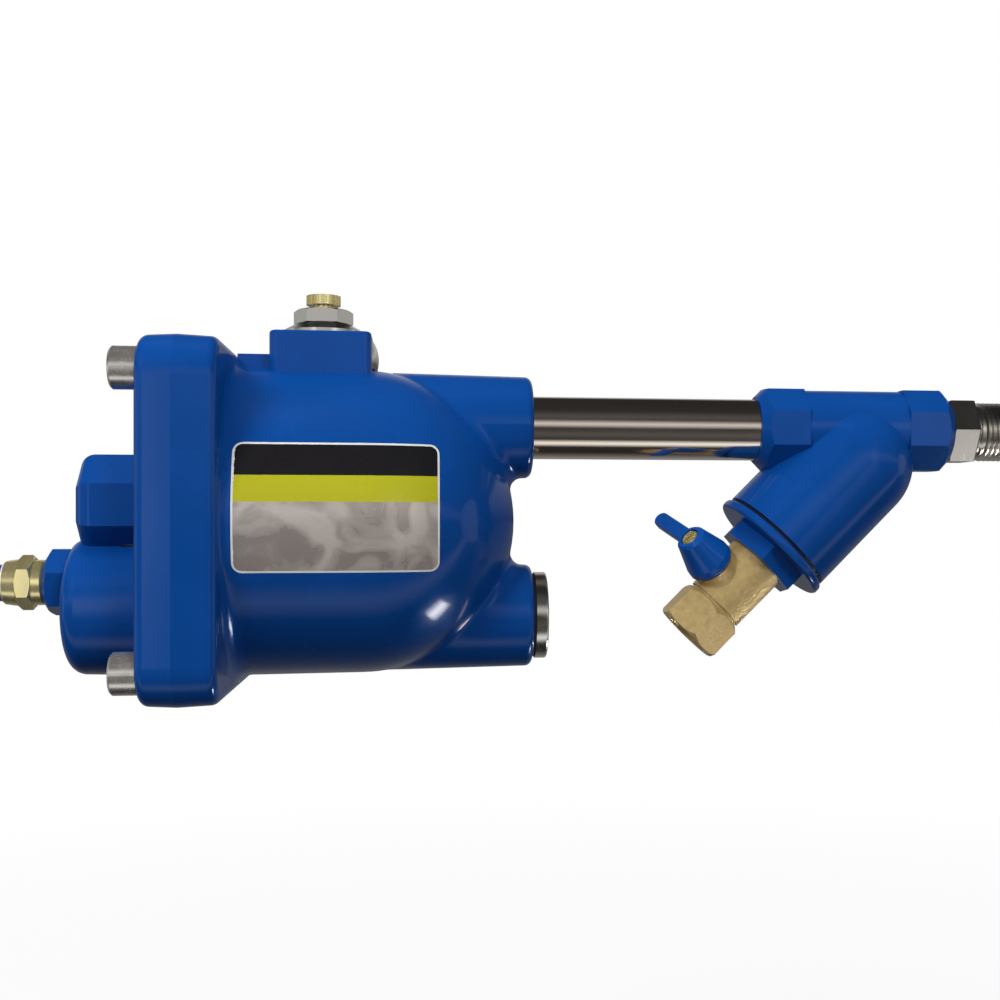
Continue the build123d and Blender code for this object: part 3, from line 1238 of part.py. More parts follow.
def make_float_bracket():
    """Folded bracket on the pocket's floor, with an ear each side of the lever."""
    base_plane = across(POCKET_X, BRACKET_Z)
    with BuildPart() as bracket:
        with BuildSketch(base_plane):
            Rectangle(BRACKET_WIDTH, BRACKET_HEIGHT)
        extrude(amount=BRACKET_PLATE)
        for side in (-1, 1):
            with BuildSketch(Plane(origin=(0, side * EAR_Y, PIVOT_Z), x_dir=(1, 0, 0), z_dir=(0, -1, 0))):
                with Locations((PIVOT_X, 0)):
                    Circle(LEVER_HUB_R)
                with Locations((POCKET_X + BRACKET_PLATE / 2, BRACKET_Z - PIVOT_Z)):
                    Rectangle(BRACKET_PLATE, BRACKET_HEIGHT)
                make_hull()
            extrude(amount=side * ((BRACKET_WIDTH - LEVER_HUB_LENGTH) / 2 - SIDE_GAP))
        with BuildSketch(line_plane(PIVOT_Z)):
            with Locations((PIVOT_X, 0)):
                Circle(PIVOT_PIN_R)
        extrude(amount=BRACKET_WIDTH, both=True, mode=Mode.SUBTRACT)
        with BuildSketch(base_plane):
            with GridLocations(BRACKET_SCREW_SPREAD, 0, 2, 1):
                Circle(BRACKET_SCREW_R + THREAD_GAP)
        extrude(amount=BRACKET_PLATE, mode=Mode.SUBTRACT)
    write(bracket.part, "float_bracket")

    with BuildPart() as screws:
        with BuildSketch(across(POCKET_X + BRACKET_PLATE, BRACKET_Z)):
            with GridLocations(BRACKET_SCREW_SPREAD, 0, 2, 1):
                Circle(BRACKET_SCREW_HEAD_R)
        extrude(amount=BRACKET_SCREW_HEAD)
        with BuildSketch(across(POCKET_X + BRACKET_PLATE, BRACKET_Z, -1)):
            with GridLocations(BRACKET_SCREW_SPREAD, 0, 2, 1):
                Circle(BRACKET_SCREW_R)
        extrude(amount=BRACKET_SCREW_REACH)
    write(screws.part, "bracket_screws")

    head_y = EAR_Y + PIVOT_HEAD
    with BuildPart() as pin:
        with BuildSketch(Plane(origin=(PIVOT_X, -EAR_Y, PIVOT_Z), x_dir=(1, 0, 0), z_dir=(0, -1, 0))):
            Circle(PIVOT_HEAD_R)
        extrude(amount=PIVOT_HEAD)
        with BuildSketch(Plane(origin=(PIVOT_X, -EAR_Y, PIVOT_Z), x_dir=(1, 0, 0), z_dir=(0, 1, 0))):
            Circle(PIVOT_PIN_R)
        extrude(amount=BRACKET_WIDTH + CLIP + 0.4)
    write(pin.part, "pivot_pin")

    with BuildPart() as clip:
        with BuildSketch(Plane(origin=(PIVOT_X, EAR_Y, PIVOT_Z), x_dir=(1, 0, 0), z_dir=(0, 1, 0))):
            Circle(PIVOT_HEAD_R)
            Circle(PIVOT_PIN_R, mode=Mode.SUBTRACT)
            with Locations((0, -PIVOT_HEAD_R / 2)):
                Rectangle(PIVOT_PIN_R * 1.4, PIVOT_HEAD_R, mode=Mode.SUBTRACT)
        extrude(amount=CLIP)
    write(clip.part, "pivot_clip")


make_chamber_body()
make_cover()
make_cover_o_ring()
make_cover_screws()
make_vent_plug()
make_bleed_knob()
make_side_plug()
make_sump_plug()
make_inlet_pipe()
make_inlet_nipple()
make_strainer_body()
make_strainer_screen()
make_strainer_cap()
make_ball_valve_body()
make_ball_valve_end()
make_valve_ball()
make_ball_seats()
make_valve_stem()
make_valve_handle()
make_outlet_adapter()
make_hose_fitting()
make_drain_hose()
make_valve_seat()
make_plunger()
make_float_lever()
make_float_bracket()
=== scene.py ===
"""Automatic drain valve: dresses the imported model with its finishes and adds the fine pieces.

The frame is the model's own, in metres: the origin is the centre of the inlet thread's open end, +X points
out of the inlet, +Z is up, and the chamber's label faces -Y.
"""

import logging
import math
from dataclasses import dataclass, field
from enum import Enum

import bmesh
import bpy
from mathutils import Matrix, Vector
from mathutils.bvhtree import BVHTree


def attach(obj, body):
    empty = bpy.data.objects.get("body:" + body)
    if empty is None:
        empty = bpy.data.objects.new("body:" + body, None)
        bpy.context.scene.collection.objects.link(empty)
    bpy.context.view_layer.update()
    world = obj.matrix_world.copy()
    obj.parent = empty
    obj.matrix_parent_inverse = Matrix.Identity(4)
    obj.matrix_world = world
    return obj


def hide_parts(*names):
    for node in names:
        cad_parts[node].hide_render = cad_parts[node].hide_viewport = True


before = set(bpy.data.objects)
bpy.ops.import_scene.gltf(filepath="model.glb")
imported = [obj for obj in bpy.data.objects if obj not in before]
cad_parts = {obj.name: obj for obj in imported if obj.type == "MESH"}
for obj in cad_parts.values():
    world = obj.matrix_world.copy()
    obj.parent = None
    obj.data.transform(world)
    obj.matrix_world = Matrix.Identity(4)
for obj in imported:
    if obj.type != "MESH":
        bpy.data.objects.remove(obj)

log = logging.getLogger("drain_valve")

MM = 0.001
WHITE = (1.0, 1.0, 1.0, 1.0)
FULL_TURN = 2 * math.pi
MOTTLE_RANGE = (0.25, 0.75)
COAT_ROUGHNESS = 0.03
WELD = 0.002 * MM
SLIT = 0.02 * MM


class Body(Enum):
    """The rigid bodies that the scene's pieces ride on."""

    HOUSING = "housing"


# ---------------------------------------------------------------------------------------------- finishes
@dataclass
class Graph:
    """Short-hand for building one node tree."""

    tree: bpy.types.NodeTree

    def node(self, kind: str, **inputs: object) -> bpy.types.Node:
        """Adds a node and fills in its inputs.

        Args:
            kind: The node's type name, such as "ShaderNodeBump".
            **inputs: Socket names with underscores for spaces; a value is set and a socket is linked.

        Returns:
            The new node.
        """
        made = self.tree.nodes.new(kind)
        for name, value in inputs.items():
            socket = made.inputs[name.replace("_", " ")]
            if isinstance(value, bpy.types.NodeSocket):
                self.tree.links.new(value, socket)
            else:
                socket.default_value = value
        return made

    def link(self, source: bpy.types.NodeSocket, target: bpy.types.NodeSocket) -> None:
        """Joins two sockets."""
        self.tree.links.new(source, target)

    def mix(self, mask: bpy.types.NodeSocket, low: tuple, high: tuple) -> bpy.types.NodeSocket:
        """Blends two colours by a mask.

        Args:
            mask: Value from 0 to 1.
            low: Linear colour where the mask is 0, or a colour socket.
            high: Linear colour where the mask is 1, or a colour socket.

        Returns:
            The blended colour's socket.
        """
        made = self.tree.nodes.new("ShaderNodeMix")
        made.data_type = "RGBA"
        self.link(mask, made.inputs[0])
        for socket, value in ((made.inputs[6], low), (made.inputs[7], high)):
            if isinstance(value, bpy.types.NodeSocket):
                self.link(value, socket)
            else:
                socket.default_value = (*value, 1.0)
        return made.outputs[2]

    def remap(self, value: bpy.types.NodeSocket, low: float, high: float, to_low: float,
              to_high: float) -> bpy.types.NodeSocket:
        """Maps a value from one range to another, clamped.

        Args:
            value: The socket to read.
            low: Start of the range that is read.
            high: End of the range that is read.
            to_low: Result at low.
            to_high: Result at high.

        Returns:
            The mapped value's socket.
        """
        made = self.node("ShaderNodeMapRange", Value=value)
        for name, number in (("From Min", low), ("From Max", high), ("To Min", to_low), ("To Max", to_high)):
            made.inputs[name].default_value = number
        return made.outputs["Result"]

    def sum(self, operation: str, *values: object) -> bpy.types.NodeSocket:
        """Adds a maths node.

        Args:
            operation: The sum to do, such as "MULTIPLY".
            *values: Its operands, as sockets or numbers.

        Returns:
            The result's socket.
        """
        made = self.tree.nodes.new("ShaderNodeMath")
        made.operation = operation
        for socket, value in zip(made.inputs, values):
            if isinstance(value, bpy.types.NodeSocket):
                self.link(value, socket)
            else:
                socket.default_value = value
        return made.outputs[0]


def grain_group() -> bpy.types.ShaderNodeTree:
    """Builds the shared grain effect: a coarse mottle as a mask and a fine relief as a height.

    Returns:
        The node group, with the inputs Vector, Coarse, Fine and Balance and the outputs Mottle and Height.
    """
    group = bpy.data.node_groups.new("surface_grain", "ShaderNodeTree")
    face = group.interface
    face.new_socket("Vector", in_out="INPUT", socket_type="NodeSocketVector")
    for name, value in (("Coarse", 60.0), ("Fine", 900.0), ("Balance", 0.5)):
        face.new_socket(name, in_out="INPUT", socket_type="NodeSocketFloat").default_value = value
    face.new_socket("Mottle", in_out="OUTPUT", socket_type="NodeSocketFloat")
    face.new_socket("Height", in_out="OUTPUT", socket_type="NodeSocketFloat")
    graph = Graph(group)
    ports = group.nodes.new("NodeGroupInput")
    place = ports.outputs["Vector"]
    coarse = graph.node("ShaderNodeTexNoise", Vector=place, Scale=ports.outputs["Coarse"], Detail=3.0)
    fine = graph.node("ShaderNodeTexNoise", Vector=place, Scale=ports.outputs["Fine"], Detail=2.0)
    blend = group.nodes.new("ShaderNodeMix")
    graph.link(ports.outputs["Balance"], blend.inputs[0])
    graph.link(coarse.outputs["Fac"], blend.inputs[2])
    graph.link(fine.outputs["Fac"], blend.inputs[3])
    out = group.nodes.new("NodeGroupOutput")
    graph.link(coarse.outputs["Fac"], out.inputs["Mottle"])
    graph.link(blend.outputs[0], out.inputs["Height"])
    return group


@dataclass(frozen=True)
class Finish:
    """A surface finish, described by how it is made.

    Attributes:
        name: The finish in plain words.
        light: Linear colour of the brighter patches.
        dark: Linear colour of the darker patches.
        metal: 1 for bare metal, 0 for paint or plastic.
        smooth: Roughness of the smoothest patches.
        rough: Roughness of the roughest patches.
        coat: Weight of a clear gloss layer.
        shine: Strength of the plain reflection; 0.5 is that of common plastic and paint.
        coarse: Mottle frequency per metre.
        fine: Relief frequency per metre.
        balance: Share of the fine relief in the height.
        depth: Relief height in metres.
        stretch: How far the pattern is squeezed along each axis, as on drawn or turned metal.
    """

    name: str
    light: tuple
    dark: tuple
    metal: float = 0.0
    smooth: float = 0.2
    rough: float = 0.3
    coat: float = 0.0
    shine: float = 0.5
    coarse: float = 60.0
    fine: float = 900.0
    balance: float = 0.5
    depth: float = 0.05 * MM
    stretch: tuple = (1.0, 1.0, 1.0)

    def build(self, grain: bpy.types.ShaderNodeTree) -> bpy.types.Material:
        """Makes the material.

        Args:
            grain: The shared grain group.

        Returns:
            The finished material.
        """
        material = bpy.data.materials.new(self.name)
        material.use_nodes = True
        graph = Graph(material.node_tree)
        shader = material.node_tree.nodes["Principled BSDF"]
        place = graph.node("ShaderNodeTexCoord")
        turned = graph.node("ShaderNodeMapping", Vector=place.outputs["Object"], Scale=self.stretch)
        effect = material.node_tree.nodes.new("ShaderNodeGroup")
        effect.node_tree = grain
        graph.link(turned.outputs["Vector"], effect.inputs["Vector"])
        for name, value in (("Coarse", self.coarse), ("Fine", self.fine), ("Balance", self.balance)):
            effect.inputs[name].default_value = value
        mottle = effect.outputs["Mottle"]
        spread = graph.remap(mottle, *MOTTLE_RANGE, 0.0, 1.0)
        graph.link(graph.mix(spread, self.dark, self.light), shader.inputs["Base Color"])
        graph.link(graph.remap(mottle, *MOTTLE_RANGE, self.smooth, self.rough), shader.inputs["Roughness"])
        height = effect.outputs["Height"]
        bump = graph.node("ShaderNodeBump", Height=height, Distance=self.depth, Strength=1.0)
        graph.link(bump.outputs["Normal"], shader.inputs["Normal"])
        shader.inputs["Metallic"].default_value = self.metal
        shader.inputs["Specular IOR Level"].default_value = self.shine
        shader.inputs["Coat Weight"].default_value = self.coat
        shader.inputs["Coat Roughness"].default_value = COAT_ROUGHNESS
        return material


ENAMEL = ((0.003, 0.056, 0.265), (0.002, 0.048, 0.23))
PAINT = Finish("gloss_enamel", *ENAMEL, smooth=0.22, rough=0.30, coat=0.22, shine=0.06, coarse=45, fine=620,
               balance=0.85, depth=0.025 * MM)
COVER_PAINT = Finish("gloss_enamel_cover", *ENAMEL, smooth=0.22, rough=0.30, coat=0.22, shine=0.06, coarse=30,
                     fine=480, balance=0.85, depth=0.035 * MM)
HANDLE_BLUE = Finish("moulded_handle", (0.003, 0.066, 0.32), (0.002, 0.058, 0.28), smooth=0.3, rough=0.38,
                     coat=0.3, shine=0.1, coarse=90, fine=1400, depth=0.01 * MM)
HOSE_BLUE = Finish("polyurethane_tube", (0.002, 0.03, 0.30), (0.002, 0.025, 0.26), smooth=0.2, rough=0.28,
                   coat=0.2, coarse=40, fine=700, balance=0.3, depth=0.01 * MM)
DRAWN_STEEL = Finish("drawn_stainless", (0.70, 0.61, 0.54), (0.60, 0.52, 0.45), metal=1.0, smooth=0.1,
                     rough=0.18, coarse=160, fine=2600, balance=0.6, depth=0.004 * MM, stretch=(0.06, 1, 1))
TURNED_STEEL = Finish("turned_stainless", (0.56, 0.53, 0.49), (0.44, 0.41, 0.37), metal=1.0, smooth=0.2,
                      rough=0.3, coarse=260, fine=3200, balance=0.7, depth=0.01 * MM, stretch=(1, 0.15, 0.15))
NICKEL = Finish("nickel_plate", (0.60, 0.58, 0.54), (0.50, 0.48, 0.44), metal=1.0, smooth=0.16, rough=0.26,
                coarse=220, fine=1800, balance=0.4, depth=0.012 * MM)
SCREW_ZINC = Finish("plated_screw", (0.72, 0.68, 0.63), (0.56, 0.52, 0.48), metal=0.85, smooth=0.2,
                    rough=0.32, coarse=320, fine=2400, depth=0.015 * MM)
CAST_BRASS = Finish("sand_cast_brass", (0.64, 0.47, 0.21), (0.48, 0.34, 0.14), metal=0.5, smooth=0.38,
                    rough=0.5, coarse=500, fine=1600, balance=0.7, depth=0.16 * MM)
TURNED_BRASS = Finish("turned_brass", (0.82, 0.72, 0.38), (0.68, 0.57, 0.25), metal=0.8, smooth=0.18,
                      rough=0.28, coarse=300, fine=2800, balance=0.6, depth=0.01 * MM, stretch=(1, 0.2, 0.2))
BLACK_RUBBER = Finish("black_rubber", (0.02, 0.02, 0.02), (0.014, 0.014, 0.014), smooth=0.55, rough=0.7,
                      coarse=200, fine=1500, depth=0.02 * MM)
FIBRE = Finish("fibre_gasket", (0.012, 0.016, 0.03), (0.008, 0.01, 0.02), smooth=0.6, rough=0.75, coarse=200,
               fine=1500, depth=0.02 * MM)
SEAL_WHITE = Finish("pale_seal", (0.80, 0.79, 0.75), (0.70, 0.69, 0.65), smooth=0.4, rough=0.55, coarse=200,
                    fine=1500, depth=0.02 * MM)
# Darker blue than the tube itself: painted shade inside the bore, used on the cut end's face, bore and
# closing disc.
HOSE_BORE_PAINTED_SHADE = Finish("tube_bore_painted_shade", (0.004, 0.03, 0.12), (0.003, 0.02, 0.09), smooth=0.4, rough=0.5, coarse=100,
                   fine=900, depth=0.01 * MM)
LABEL_EDGE = Finish("label_film_edge", (0.70, 0.70, 0.70), (0.62, 0.62, 0.62), smooth=0.35, rough=0.45,
                    coarse=100, fine=900, depth=0.005 * MM)


@dataclass(frozen=True)
class LabelPrint:
    """Silver film printed with a black and a yellow-green band.

    Attributes:
        top: Height of the label's upper edge in metres.
        black: Height of the black band.
        yellow: Height of the yellow-green band.
        edge: Half the width over which one band passes into the next.
        film_metal: How metallic the bare film is.
        shine: Strength of the plain reflection.
        wrinkle: Height of the film's wrinkles.
    """

    top: float
    black: float
    yellow: float
    edge: float = 0.05 * MM
    film_metal: float = 0.35
    shine: float = 0.25
    wrinkle: float = 0.15 * MM

    def build(self) -> bpy.types.Material:
        """Makes the banded material.

        Returns:
            The finished material.
        """
        material = bpy.data.materials.new("label_print")
        material.use_nodes = True
        graph = Graph(material.node_tree)
        shader = material.node_tree.nodes["Principled BSDF"]
        place = graph.node("ShaderNodeTexCoord")
        split = graph.node("ShaderNodeSeparateXYZ", Vector=place.outputs["Object"])
        # Lighter and darker patches in the silver film's colour are painted sheen; the same noise also sets
        # the film's roughness and wrinkles.
        sheen = graph.node("ShaderNodeTexNoise", Vector=place.outputs["Object"], Scale=70.0, Detail=4.0,
                           Distortion=1.2)
        patches = graph.remap(sheen.outputs["Fac"], 0.4, 0.62, 0.0, 1.0)
        film = graph.mix(patches, (0.30, 0.26, 0.24), (0.52, 0.47, 0.43))
        height = split.outputs["Z"]
        black_end = self.top - self.black
        yellow_end = black_end - self.yellow
        is_yellow = graph.remap(height, yellow_end - self.edge, yellow_end + self.edge, 0.0, 1.0)
        is_black = graph.remap(height, black_end - self.edge, black_end + self.edge, 0.0, 1.0)
        colour = graph.mix(is_yellow, film, (0.40, 0.39, 0.012))
        graph.link(graph.mix(is_black, colour, (0.010, 0.009, 0.011)), shader.inputs["Base Color"])
        metal = graph.remap(height, yellow_end - self.edge, yellow_end + self.edge, self.film_metal, 0.0)
        graph.link(metal, shader.inputs["Metallic"])
        shader.inputs["Specular IOR Level"].default_value = self.shine
        graph.link(graph.remap(sheen.outputs["Fac"], 0.3, 0.7, 0.22, 0.38), shader.inputs["Roughness"])
        bump = graph.node("ShaderNodeBump", Height=sheen.outputs["Fac"], Distance=self.wrinkle, Strength=1.0)
        graph.link(bump.outputs["Normal"], shader.inputs["Normal"])
        return material


@dataclass
class Wardrobe:
    """Builds each finish once and hands it out."""

    grain: bpy.types.ShaderNodeTree = field(default_factory=grain_group)
    made: dict = field(default_factory=dict)

    def get(self, finish: Finish) -> bpy.types.Material:
        """Returns the material of a finish, made on first use."""
        if finish.name not in self.made:
            self.made[finish.name] = finish.build(self.grain)
        return self.made[finish.name]

    def dress(self, finish: Finish, *nodes: str) -> None:
        """Gives model nodes a finish.

        Args:
            finish: The finish to use.
            *nodes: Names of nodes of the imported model.
        """
        material = self.get(finish)
        for name in nodes:
            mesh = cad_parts[name].data
            for index in range(len(mesh.materials)):
                mesh.materials[index] = material
            if not mesh.materials:
                mesh.materials.append(material)
        log.info("%s: %s", finish.name, ", ".join(nodes))


def finish_piece(mesh: bmesh.types.BMesh, name: str, material: bpy.types.Material, body: Body,
                 smooth_angle: float = 35.0) -> bpy.types.Object:
    """Turns a bmesh into a piece of the part.

    Args:
        mesh: The shape, in place.
        name: The piece's name.
        material: Its finish.
        body: The body that it rides on.
        smooth_angle: Edges sharper than this many degrees stay crisp.

    Returns:
        The new object.
    """
    bmesh.ops.remove_doubles(mesh, verts=mesh.verts, dist=WELD)
    bmesh.ops.recalc_face_normals(mesh, faces=mesh.faces)
    data = bpy.data.meshes.new(name)
    mesh.to_mesh(data)
    mesh.free()
    data.materials.append(material)
    data.shade_smooth()
    data.set_sharp_from_angle(angle=math.radians(smooth_angle))
    piece = bpy.data.objects.new(name, data)
    bpy.context.scene.collection.objects.link(piece)
    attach(piece, body.value)
    log.info("made %s: %d faces", name, len(data.polygons))
    return piece


def spun(profile: list, centre: Vector, axis: Vector, side: Vector, steps: int = 96,
         close: bool = True) -> bmesh.types.BMesh:
    """Turns a profile about an axis.

    Args:
        profile: Points as (distance along the axis, radius), in metres.
        centre: A point on the axis, where the distance is 0.
        axis: Direction of the axis.
        side: A direction square to the axis, in which the profile is drawn.
        steps: Number of steps round the axis.
        close: Whether the profile's last point joins its first.

    Returns:
        The turned shape.
    """
    mesh = bmesh.new()
    points = [mesh.verts.new(centre + axis * along + side * radius) for along, radius in profile]
    pairs = list(zip(points, points[1:])) + ([(points[-1], points[0])] if close else [])
    edges = [mesh.edges.new(pair) for pair in pairs]
    bmesh.ops.spin(mesh, geom=points + edges, cent=centre, axis=axis, angle=FULL_TURN, steps=steps,
                   use_merge=True)
    return mesh


def add_thread(mesh: bmesh.types.BMesh, start: Vector, axis: Vector, side: Vector, root: float, crest: float,
               pitch: float, turns: float, steps: int = 40) -> None:
    """Adds a screw thread's ridge to a shape; it rises from nothing at one end and runs out at the other.

    Args:
        mesh: The shape to add to.
        start: Point on the axis where the ridge begins.
        axis: Direction in which the ridge advances.
        side: A direction square to the axis.
        root: Radius at the ridge's foot.
        crest: Radius at its top.
        pitch: Advance per turn.
        turns: Number of turns.
        steps: Steps per turn.
    """
    foot_width, crest_width = 0.94, 0.14
    sunk_share, least_share = 0.15, 0.02
    sunk = root - (crest - root) * sunk_share
    count = round(turns * steps)
    run_in = steps / 3
    rings = []
    for step in range(count + 1):
        share = max(min(1.0, step / run_in, (count - step) / run_in), least_share)
        top = sunk + (crest - sunk) * share
        spoke = Matrix.Rotation(FULL_TURN * step / steps, 3, axis) @ side
        centre = start + axis * (pitch * step / steps)
        shape = (
            (-foot_width / 2, sunk),
            (-crest_width / 2, top),
            (crest_width / 2, top),
            (foot_width / 2, sunk),
        )
        rings.append([
            mesh.verts.new(centre + axis * (pitch * along) + spoke * radius)
            for along, radius in shape
        ])
    for ring, following in zip(rings, rings[1:]):
        for corner in range(len(ring)):
            mesh.faces.new((ring[corner - 1], ring[corner], following[corner], following[corner - 1]))
    mesh.faces.new(rings[0])
    mesh.faces.new(rings[-1])


# ---------------------------------------------------------------------------------------------- stage
@dataclass
class StudioCamera:
    """The camera, level with the chamber and a little to its right."""

    place: tuple = (-0.2082, -0.4592, -0.0334)
    turn: float = 7.67
    tilt: float = -0.12
    lens: float = 48.37
    shift: tuple = (-0.10, 0.0283)

    def build(self) -> None:
        """Makes the camera and hands it to the scene."""
        data = bpy.data.cameras.new("camera")
        data.lens = self.lens
        data.sensor_width = 36.0
        data.shift_x, data.shift_y = self.shift
        data.clip_start, data.clip_end = 0.01, 50.0
        camera = bpy.data.objects.new("camera", data)
        camera.location = self.place
        camera.rotation_euler = (math.radians(90 + self.tilt), 0.0, math.radians(-self.turn))
        bpy.context.scene.collection.objects.link(camera)
        bpy.context.scene.camera = camera


@dataclass
class Lamp:
    """A soft rectangular lamp.

    Attributes:
        name: The lamp's name.
        place: Where it stands.
        aim: The point that it faces.
        size: Width and height in metres.
        watts: Its power.
    """

    name: str
    place: tuple
    aim: tuple
    size: tuple
    watts: float

    def build(self) -> None:
        """Makes the lamp, which no glossy surface shows."""
        data = bpy.data.lights.new(self.name, "AREA")
        data.shape = "RECTANGLE"
        data.size, data.size_y = self.size
        data.energy = self.watts
        lamp = bpy.data.objects.new(self.name, data)
        lamp.location = self.place
        facing = Vector(self.aim) - Vector(self.place)
        lamp.rotation_euler = facing.to_track_quat("-Z", "Y").to_euler()
        lamp.visible_glossy = False
        bpy.context.scene.collection.objects.link(lamp)


@dataclass(frozen=True)
class Panel:
    """A bright strip on the curtain.

    Attributes:
        height: Elevation of its middle, in degrees above the level in front of the object.
        spread: Degrees over which it fades out on each side.
        bright: Its brightness.
        left: Where it ends on the left, in metres along X.
        right: Where it ends on the right.
    """

    height: float
    spread: float
    bright: float
    left: float = -9.0
    right: float = 9.0


@dataclass
class Studio:
    """White surroundings and floor, soft lamps, and a curtain of strips that only glossy surfaces reflect.

    Attributes:
        floor_height: Level of the floor.
        floor_size: Length of its sides.
        floor_white: How much light the floor gives back where it shows shadow.
        near: Distance up to which the floor shows the object's shadow.
        far: Distance from which the floor is as white as the surroundings.
        near_glow: Share of plain white in the near floor.
        fill_above: Strength of the fill light from straight above.
        fill_below: Strength of the fill light from below.
        curtain_radius: Distance of the curtain from its axis.
        curtain_reach: How far it runs along X on each side.
        curtain_dark: Brightness between the strips.
        curtain_steps: Number of flat faces round the curtain.
        fade: Length over which a strip fades out at its ends.
        centre: The point that the lamps face and the curtain goes round.
        panels: The bright strips.
    """

    floor_height: float = -0.345
    floor_size: float = 12.0
    floor_white: float = 0.92
    near: float = 0.35
    far: float = 1.1
    near_glow: float = 0.82
    fill_above: float = 0.46
    fill_below: float = 0.10
    curtain_radius: float = 1.25
    curtain_reach: float = 6.0
    curtain_dark: float = 0.03
    curtain_steps: int = 64
    fade: float = 0.06
    centre: tuple = (-0.2, 0.0, -0.03)
    panels: tuple = (
        Panel(-150.0, 45.0, 0.30),
        Panel(-98.0, 11.0, 50.0, 0.58, 1.02),
        Panel(-60.0, 15.0, 1.5),
        Panel(-25.0, 25.0, 0.10),
        Panel(0.0, 18.0, 2.2, -0.90, -0.60),
        Panel(5.0, 40.0, 0.9, 0.38, 0.80),
        Panel(14.0, 15.0, 0.95),
        Panel(42.0, 22.0, 0.08),
        Panel(158.0, 22.0, 0.7),
    )

    def build(self) -> None:
        """Makes the whole stage."""
        self.world()
        self.floor()
        self.curtain()
        lamps = (
            Lamp("key", (-0.95, -0.85, 0.75), self.centre, (0.5, 0.5), 12.5),
            Lamp("top", (-0.35, -0.1, 1.1), self.centre, (0.9, 0.3), 4.5),
            Lamp("front", (0.35, -1.3, 0.30), self.centre, (0.35, 0.35), 7.0),
        )
        for lamp in lamps:
            lamp.build()

    def seen(self, graph: Graph) -> bpy.types.NodeSocket:
        """Mask of the rays that look at the surroundings directly, in a mirror or through glass."""
        path = graph.node("ShaderNodeLightPath")
        first = graph.sum("MAXIMUM", path.outputs["Is Camera Ray"], path.outputs["Is Glossy Ray"])
        return graph.sum("MAXIMUM", first, path.outputs["Is Transmission Ray"])

    def world(self) -> None:
        """White surroundings for the eye and for mirrors, and a fill that comes mostly from above."""
        world = bpy.data.worlds.new("surroundings")
        world.use_nodes = True
        bpy.context.scene.world = world
        graph = Graph(world.node_tree)
        world.node_tree.nodes.clear()
        place = graph.node("ShaderNodeTexCoord")
        split = graph.node("ShaderNodeSeparateXYZ", Vector=place.outputs["Generated"])
        level = graph.remap(split.outputs["Z"], -0.6, 0.8, self.fill_below, self.fill_above)
        fill = graph.node("ShaderNodeBackground", Color=WHITE, Strength=level)
        white = graph.node("ShaderNodeBackground", Color=WHITE, Strength=1.0)
        both = graph.node("ShaderNodeMixShader", Fac=self.seen(graph))
        graph.link(fill.outputs[0], both.inputs[1])
        graph.link(white.outputs[0], both.inputs[2])
        out = graph.node("ShaderNodeOutputWorld")
        graph.link(both.outputs[0], out.inputs["Surface"])

    def floor(self) -> None:
        """White floor that keeps a soft shadow near the object and melts into the white further off."""
        mesh = bmesh.new()
        bmesh.ops.create_grid(mesh, x_segments=1, y_segments=1, size=self.floor_size / 2)
        bmesh.ops.translate(mesh, verts=mesh.verts, vec=(0.0, 0.0, self.floor_height))
        material = bpy.data.materials.new("white_floor")
        material.use_nodes = True
        graph = Graph(material.node_tree)
        material.node_tree.nodes.clear()
        place = graph.node("ShaderNodeTexCoord")
        offset = graph.tree.nodes.new("ShaderNodeVectorMath")
        offset.operation = "DISTANCE"
        graph.link(place.outputs["Object"], offset.inputs[0])
        offset.inputs[1].default_value = (self.centre[0], self.centre[1], self.floor_height)
        glow_share = graph.remap(offset.outputs["Value"], self.near, self.far, self.near_glow, 1.0)
        matt = graph.node("ShaderNodeBsdfDiffuse", Color=(*[self.floor_white] * 3, 1.0))
        glow = graph.node("ShaderNodeEmission", Color=WHITE, Strength=1.0)
        both = graph.node("ShaderNodeMixShader", Fac=graph.sum("MULTIPLY", self.seen(graph), glow_share))
        graph.link(matt.outputs[0], both.inputs[1])
        graph.link(glow.outputs[0], both.inputs[2])
        out = graph.node("ShaderNodeOutputMaterial")
        graph.link(both.outputs[0], out.inputs["Surface"])
        floor = self.add_stage(mesh, "floor", material)
        floor.visible_glossy = False
        floor.visible_diffuse = False

    def curtain(self) -> None:
        """Dark curtain round the object with bright strips along it, seen only in glossy surfaces."""
        mesh = bmesh.new()
        top = self.centre[2] + self.curtain_radius
        ends = [mesh.verts.new((x, 0.0, top)) for x in (-self.curtain_reach, self.curtain_reach)]
        edge = mesh.edges.new(ends)
        bmesh.ops.spin(mesh, geom=[*ends, edge], cent=self.centre, axis=(1.0, 0.0, 0.0), angle=FULL_TURN,
                       steps=self.curtain_steps, use_merge=True)
        material = bpy.data.materials.new("strip_curtain")
        material.use_nodes = True
        graph = Graph(material.node_tree)
        material.node_tree.nodes.clear()
        place = graph.node("ShaderNodeTexCoord")
        split = graph.node("ShaderNodeSeparateXYZ", Vector=place.outputs["Object"])
        rise = graph.sum("SUBTRACT", split.outputs["Z"], self.centre[2])
        ahead = graph.sum("MULTIPLY", split.outputs["Y"], -1.0)
        angle = graph.sum("ARCTAN2", rise, ahead)
        turn = graph.remap(angle, -math.pi, math.pi, 0.0, 1.0)
        bright = self.curtain_dark
        for panel in self.panels:
            off = graph.sum("ABSOLUTE", graph.sum("SUBTRACT", turn, panel.height / 360 + 0.5))
            across = graph.remap(off, 0.0, panel.spread / 360, panel.bright, 0.0)
            middle = (panel.left + panel.right) / 2
            half = (panel.right - panel.left) / 2
            aside = graph.sum("ABSOLUTE", graph.sum("SUBTRACT", split.outputs["X"], middle))
            along = graph.remap(aside, half - self.fade, half, 1.0, 0.0)
            bright = graph.sum("ADD", graph.sum("MULTIPLY", across, along), bright)
        light = graph.node("ShaderNodeEmission", Color=WHITE, Strength=bright)
        out = graph.node("ShaderNodeOutputMaterial")
